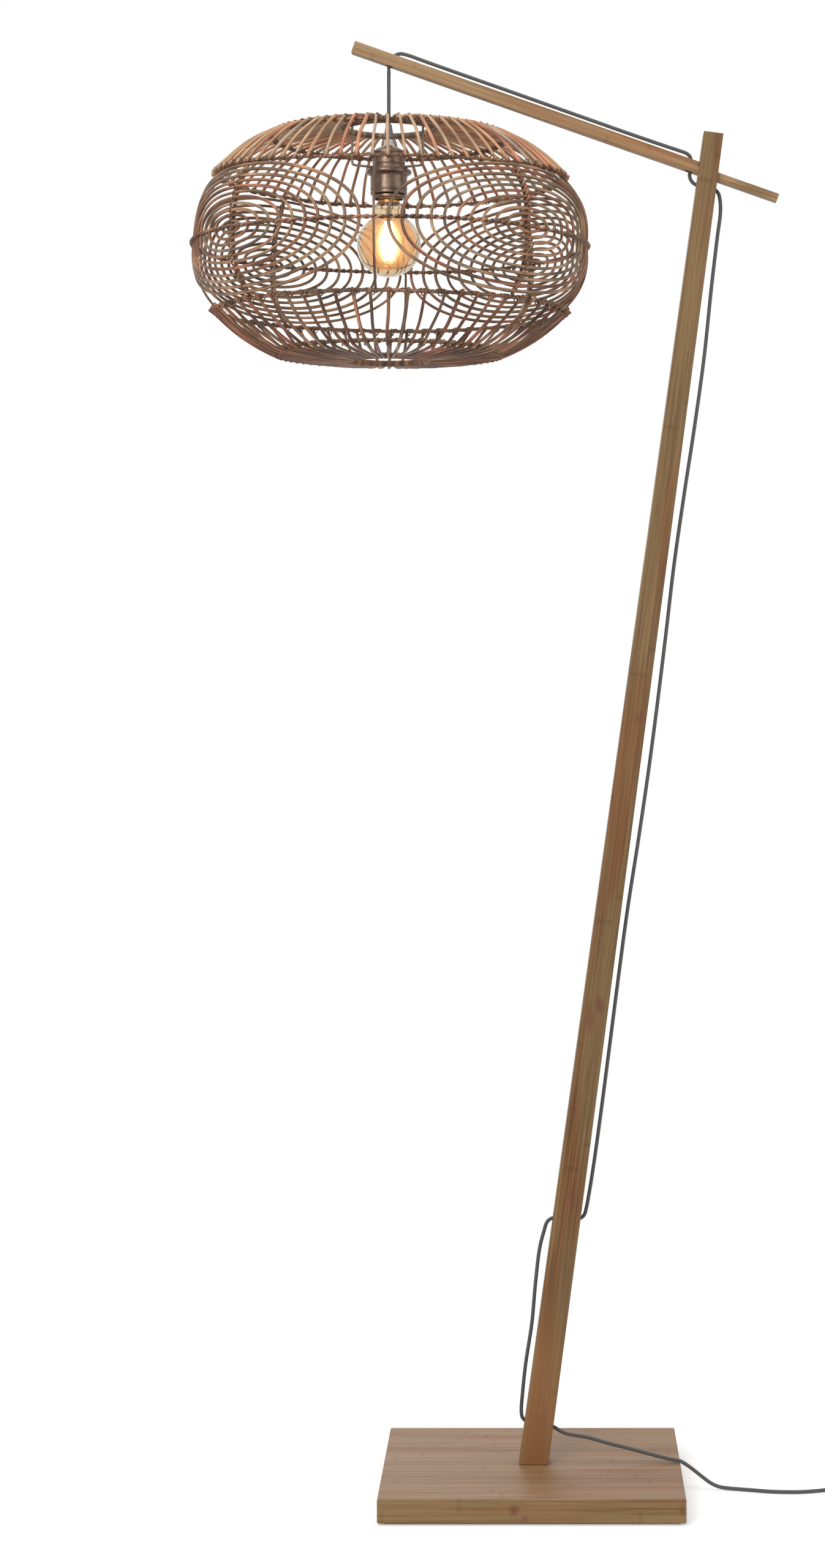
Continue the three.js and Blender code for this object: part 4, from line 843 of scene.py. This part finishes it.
def wrapped_ring(name, node, radius, height):
    """The ring of an opening, wound close with thin cane."""
    turns = int(math.tau * radius / (2 * RING_WRAP + 0.12))
    weave = Weave().add(hoop_line(radius, height, 96, 0), RING_CORE, 10, closed=True)
    weave.add(winding(radius, height, RING_CORE + RING_WRAP * 0.9, turns, 12), RING_WRAP, 7, closed=True)
    weave.make(name, "pendant", RATTAN_DARK, node, slot="rattan_dark")


def twined_waist():
    """Two canes twined in front of and behind the ovals."""
    turns, steps = 86, 12
    weave = Weave()
    for half in (0, math.pi):
        line = []
        for i in range(turns * steps):
            turn = math.tau * i / (turns * steps)
            wound = turns * turn + half
            height = WAIST + 1.3 * math.sin(wound) + 0.8 * math.sin(4 * turn)
            line.append(cane(244.9 + 3.3 * math.cos(wound), turn, height))
        weave.add(line, TWINE, 8, closed=True)
    weave.make("rattan_waist", "pendant", RATTAN_DARK, "waist_hoop", slot="rattan_dark")


def upright(angle, set_back):
    """The line of a rib from shoulder to shoulder, set back from the wall but for its ends."""
    foot, top = LOWER + 2.6, UPPER - 2.6
    line = []
    for t in np.linspace(0, 1, 36):
        height = foot + (top - foot) * t
        ease = min(1, min(t, 1 - t) * 12)
        line.append(cane(wall(height) - set_back * ease, angle, height))
    return line


def round_power(value):
    return math.copysign(abs(value) ** (2 / 2.25), value)


def oval_line(k, middle):
    """The k-th oval of a net, a superellipse that drifts a little."""
    steps = 40 + 8 * k
    line = []
    for j in range(steps):
        turn = math.tau * j / steps
        angle = turn + 0.22 * math.sin(2 * turn)
        soft = 0.8 * math.sin(2 * turn + k) + 0.6 * math.sin(3 * turn + 2.1 * k)
        height = WAIST + (k * PITCH_UP) * round_power(math.sin(angle)) + 0.45 * soft * min(1, k / 4)
        height = min(max(height, LOWER + 4.4), UPPER - 4.2)
        along = k * PITCH_ALONG * round_power(math.cos(angle)) + (0.5 * soft if k < OVALS else 0)
        line.append(cane(wall(height), middle + along / WALL, height))
    return line


def rib_twine(middle, half):
    """A thin cane that winds up a rib, one turn to two ovals."""
    line = []
    for t in np.linspace(0, 1, 220):
        height = LOWER + 5 + (UPPER - LOWER - 10) * t
        wound = math.pi * (height - WAIST) / PITCH_UP + half
        angle = middle + 1.5 * math.sin(wound) / WALL
        line.append(cane(wall(height) + 2.6 * math.cos(wound) - 0.4, angle, height))
    return line


strands("rattan_upper_strands", "upper_strands", RATTAN_LIT_TOP, UPPER_COUNT,
        TOP_RING, TOP_HOOP, UPPER_SHOULDER, swell=5.0, past=5.5)
strands("rattan_lower_strands", "lower_strands", RATTAN_SHADED_LOW, LOWER_COUNT,
        BOTTOM_RING, BOTTOM_HOOP, LOWER_SHOULDER, swell=4.5, past=8.5)
for name, node, place, count, normal, wide, leans in (
    ("rattan_top_hoop", "top_hoop", TOP_HOOP, UPPER_COUNT, 1.1, HOOP, ALONE),
    ("rattan_bottom_hoop", "bottom_hoop", BOTTOM_HOOP, LOWER_COUNT, -1.2, HOOP, ALONE),
    ("rattan_upper_shoulder", "upper_shoulder_hoop", UPPER_SHOULDER, UPPER_COUNT, 0.92, UPPER_HOOP, CROSSED),
    ("rattan_lower_shoulder", "lower_shoulder_hoop", LOWER_SHOULDER, LOWER_COUNT, -0.98, HOOP, CROSSED),
):
    tied_hoop(name, node, *place, count, normal, wide, leans)
wrapped_ring("rattan_top_ring", "upper_strands", *TOP_RING)
wrapped_ring("rattan_bottom_ring", "lower_strands", *BOTTOM_RING)
twined_waist()

middles = [math.radians(turn) for turn in NETS.values()]
middles.append(middles[0] + math.tau)
for i, place in enumerate(NETS):
    net = Weave()
    for k in range(1, OVALS + 1):
        net.add(oval_line(k, middles[i]), OVAL * dice.uniform(0.9, 1.08), 9, closed=True)
    net.add(upright(middles[i], 4.4), RIB, 10)
    for half in (0, math.pi):
        net.add(rib_twine(middles[i], half), RIB_TWINE, 7)
    net.make("rattan_net_" + place, "pendant", RATTAN, "oval_net_" + place, slot="rattan")
    side = Weave().add(upright((middles[i] + middles[i + 1]) / 2, 0), SIDE_RIB, 10)
    side.make(f"rattan_side_rib_{i + 1}", "pendant", RATTAN_DARK, f"side_rib_{i + 1}", slot="rattan_dark")


# ---------------- switch and plug
SWITCH, SWITCH_LONG, SWITCH_WIDE, CORD_ENTRY, RELIEF_LONG = (462, -13), 76, 36, (-13, 5), 24


def stadium(long, wide):
    """Points round an outline with round ends, in even steps."""
    half, r, count = (long - wide) / 2, wide / 2, 96
    whole = 4 * half + math.tau * r
    made = []
    for i in range(count):
        s = (i / count * whole + half) % whole
        if s < 2 * half:
            made.append((-half + s, -r))
        elif s < 2 * half + math.pi * r:
            a = (s - 2 * half) / r - math.pi / 2
            made.append((half + r * math.cos(a), r * math.sin(a)))
        elif s < 4 * half + math.pi * r:
            made.append((half - (s - 2 * half - math.pi * r), r))
        else:
            a = (s - 4 * half - math.pi * r) / r + math.pi / 2
            made.append((-half + r * math.cos(a), r * math.sin(a)))
    return np.array(made)


def disc(radius, outline):
    """A circle with a point towards each point of the outline."""
    angles = np.arctan2(outline[:, 1], outline[:, 0])
    return np.stack([radius * np.cos(angles), radius * np.sin(angles)], 1)


def moulded(name, outlines, at, node):
    """A black housing on the floor, of outlines of one count of points, each at its height."""
    rings = [[(x, y, height) for x, y in outline] for outline, height in outlines]
    return shell(name, rings, "stand", BLACK, node, slot="plastic_black", at=(*at, 0))


def relief(name, node, root, tip, y, z):
    """A tapered sleeve with ribs, from its root in the housing to its tip on the cord."""
    way, profile = math.copysign(1, tip - root), [(2.4, 0), (5, 0)]
    for i in range(6):
        at = 2 + 3.5 * i
        r = 5 - 1.35 * at / RELIEF_LONG
        profile += [(r, at), (r - 0.9, at + 0.3), (r - 0.9, at + 1.5), (r - 0.1, at + 1.8)]
    profile += [(3.62, 23.3), (3.3, RELIEF_LONG), (2.4, RELIEF_LONG)]
    made = [(r, root + way * d) for r, d in profile]
    made.append(made[0])
    return lathe(name, made, "stand", BLACK, node, slot="plastic_black", at=(0, y, z), way="X")


def case(inset):
    """The switch's outline, set in."""
    return stadium(SWITCH_LONG - 2 * inset, SWITCH_WIDE - 2 * inset)


lip = case(0)
cover = [(case(2.5), 9.3), (lip, 9.3), (lip, 16.5)]
edge = ((0.3, 18.0), (1.0, 19.4), (2.0, 20.4), (3.4, 21.0), (5.0, 21.3))
cover += [(case(inset), height) for inset, height in edge]
well = ((14.2, 21.3), (13.6, 20.8), (12.5, 20.6), (12.3, 20.2), (12.3, 16.5))
cover += [(disc(radius, lip), height) for radius, height in well]
switch_cover = moulded("switch_cover_moulded", cover, SWITCH, "switch_cover")
base = [
    (stadium(20, 6), 0.4), (case(2), 0.4), (case(0.5), 1.4), (lip, 2.4), (lip, 8.4), (case(0.5), 9.0),
    (case(8), 9.0),
]
switch_base = moulded("switch_base_moulded", base, SWITCH, "switch_base")
button = [
    (NEAR_AXIS, 16), (14, 16), (14, 17.6), (12, 17.6), (12, 23.6), (11.5, 24.8), (10.2, 25.3), (8.8, 25.1),
    (6, 24.6), (NEAR_AXIS, 24.3),
]
lathe("switch_button_moulded", rounded(button, 0.4), "button", BLACK, "switch_button",
      slot="plastic_black", at=(*SWITCH, 0))
relief_in = relief("switch_relief_in_ribbed", "switch_relief_in", 423.7, 400, *CORD_ENTRY)
relief_out = relief("switch_relief_out_ribbed", "switch_relief_out", 500.3, 524, *CORD_ENTRY)
# the braid runs on in the bore of the strain relief
cord("cord_to_switch_braid", "stand", [*TO_SWITCH, (409.6, *CORD_ENTRY)], ["cord_to_switch"])

cord_end, plug_y, plug_z = TO_PLUG[-1]
PLUG_LONG, PLUG_HALF, PLUG_NOSE, PLUG_THICK_HALF, PIN_OFF = 38, 17, 13, 6.8, 9.3
plug_tip = cord_end - 0.3
plug_relief = relief("plug_relief_ribbed", "plug_relief", plug_tip - RELIEF_LONG, plug_tip, plug_y, plug_z)
back = plug_tip - 24.3
front = back - PLUG_LONG


def plug_outline(inset):
    """The plug from above, set in: square at the pins, narrowing to the cord."""
    half, nose = PLUG_HALF - inset, (PLUG_NOSE - inset) / 2
    x0, x1, middle = front + inset, back - inset, front + PLUG_LONG / 3
    shares = np.linspace(0.08, 1, 12)
    points = [(x0, -half), (middle, -half), *bow((middle, -half), (x1, -half), (x1, -nose), shares)]
    points += [(x1, nose), *bow((x1, nose), (x1, half), (middle, half), shares), (x0, half)]
    return np.array(points)


low, high = plug_z - PLUG_THICK_HALF, plug_z + PLUG_THICK_HALF
plug_sides = [
    (16, low), (2.0, low), (0.7, low + 0.5), (0, low + 1.8),
    (0, plug_z - 0.3), (0.35, plug_z), (0, plug_z + 0.3),
    (0, high - 1.8), (0.7, high - 0.5), (2.0, high), (5, high), (5.6, high - 0.4), (16, high - 0.4),
]
outlines = [(plug_outline(inset), height) for inset, height in plug_sides]
plug_body = moulded("plug_body_moulded", outlines, (0, plug_y), "plug_body")
for i, side in enumerate((-PIN_OFF, PIN_OFF)):
    ends = [(NEAR_AXIS, 5), (2, 5), (2, -17), (1.7, -18.4), (0.9, -19), (NEAR_AXIS, -19)]
    pin = rounded([(radius, front + far) for radius, far in ends], 0.5)
    lathe(f"plug_pin_turned_{i + 1}", pin, "stand", STEEL, f"plug_pin_{i + 1}",
                      slot="steel", at=(0, plug_y + side, plug_z), way="X", steps=24)
cord("cord_tail_braid", "stand", [*TO_COIL, *coil_line(), *TO_PLUG],
     ["cord_to_coil", "cord_coil", "cord_to_plug"])


# ---------------- CAD nodes that stay
def keep(node, material, eased=0.0):
    """Dress a solid of the part, with its edges eased by a bevel."""
    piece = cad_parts[node]
    piece.data.materials.clear()
    piece.data.materials.append(material)
    if eased:
        joined = piece.modifiers.new("join", "WELD")
        joined.merge_threshold = 1e-5
        edge = piece.modifiers.new("edge", "BEVEL")
        edge.width, edge.segments = eased * MM, 2
        edge.limit_method, edge.angle_limit = "ANGLE", math.radians(40)
        edge.harden_normals = True


keep("base_plate", BAMBOO_BASE, 0.9)
keep("post", BAMBOO_POST, 0.7)
keep("arm", BAMBOO_ARM, 0.7)
keep("base_felt", FELT)
for node in ("post_washer", "post_bolt", "arm_screw", "switch_screw_1", "switch_screw_2"):
    keep(node, STEEL, 0.15)
keep("holder_insert", CERAMIC, 0.3)
for node in ("centre_contact", "screw_shell", "bulb_tip"):
    keep(node, BRASS)


# ---------------- stage and light
def lay_floor():
    """A pale floor that shows white, also in glass and metal, but keeps the shadow round the base."""
    f = Finish("floor", Roughness=0.9)
    plain = f.node("BsdfDiffuse", {"Color": (0.8, 0.8, 0.8, 1)})
    near = f.node("AddShader", {0: plain, 1: f.node("Emission", {"Strength": 0.36})})
    fade = f.between(f.length(f.node("TexCoord").outputs["Object"]), 0.35, 1.3)
    shown = f.node("MixShader", {0: fade, 1: near, 2: f.node("Emission", {"Strength": 1.0})})
    both = f.node("MixShader", {0: f.seen(), 1: plain, 2: shown})
    f.join(both, f.tree.nodes["Material Output"].inputs["Surface"])
    bpy.ops.mesh.primitive_plane_add(size=14)
    floor = bpy.context.object
    floor.name = "floor"
    floor.data.materials.append(f.material)


def white_world():
    """A world that shows white and lights the lamp half as strongly."""
    world = bpy.data.worlds.new("studio")
    bpy.context.scene.world = world
    sky = Graph(world)
    background = sky.tree.nodes["Background"]
    strength = sky.node("MapRange", {"Value": sky.seen(), "To Min": 0.5, "To Max": 1.0})
    sky.join((1, 1, 1, 1), background.inputs["Color"])
    sky.join(strength, background.inputs["Strength"])


def lamp(name, place, aim, wide, tall, power):
    light = bpy.data.lights.new(name, "AREA")
    light.shape, light.size, light.size_y, light.energy = "RECTANGLE", wide, tall, power
    made = bpy.data.objects.new(name, light)
    made.location = place
    made.visible_transmission = False
    made.rotation_euler = Vector([a - b for a, b in zip(aim, place)]).to_track_quat("-Z", "Y").to_euler()
    bpy.context.scene.collection.objects.link(made)


lay_floor()
white_world()
lamp("key", (-1.5, -3.2, 2.3), (0, 0, 1.2), 1.3, 1.3, 50)
lamp("strip", (-0.25, -3.9, 2.2), (-0.2, 0, 1.6), 0.22, 1.6, 12)
lamp("top", (-0.8, -1.0, 3.9), (0, 0, 1.0), 2.0, 2.0, 36)
lamp("fill", (2.8, -1.4, 2.0), (0, 0, 1.0), 2.2, 2.2, 22)
lamp("back", (-1.0, 3.4, 2.4), (0, 0, 1.0), 2.2, 2.2, 22)
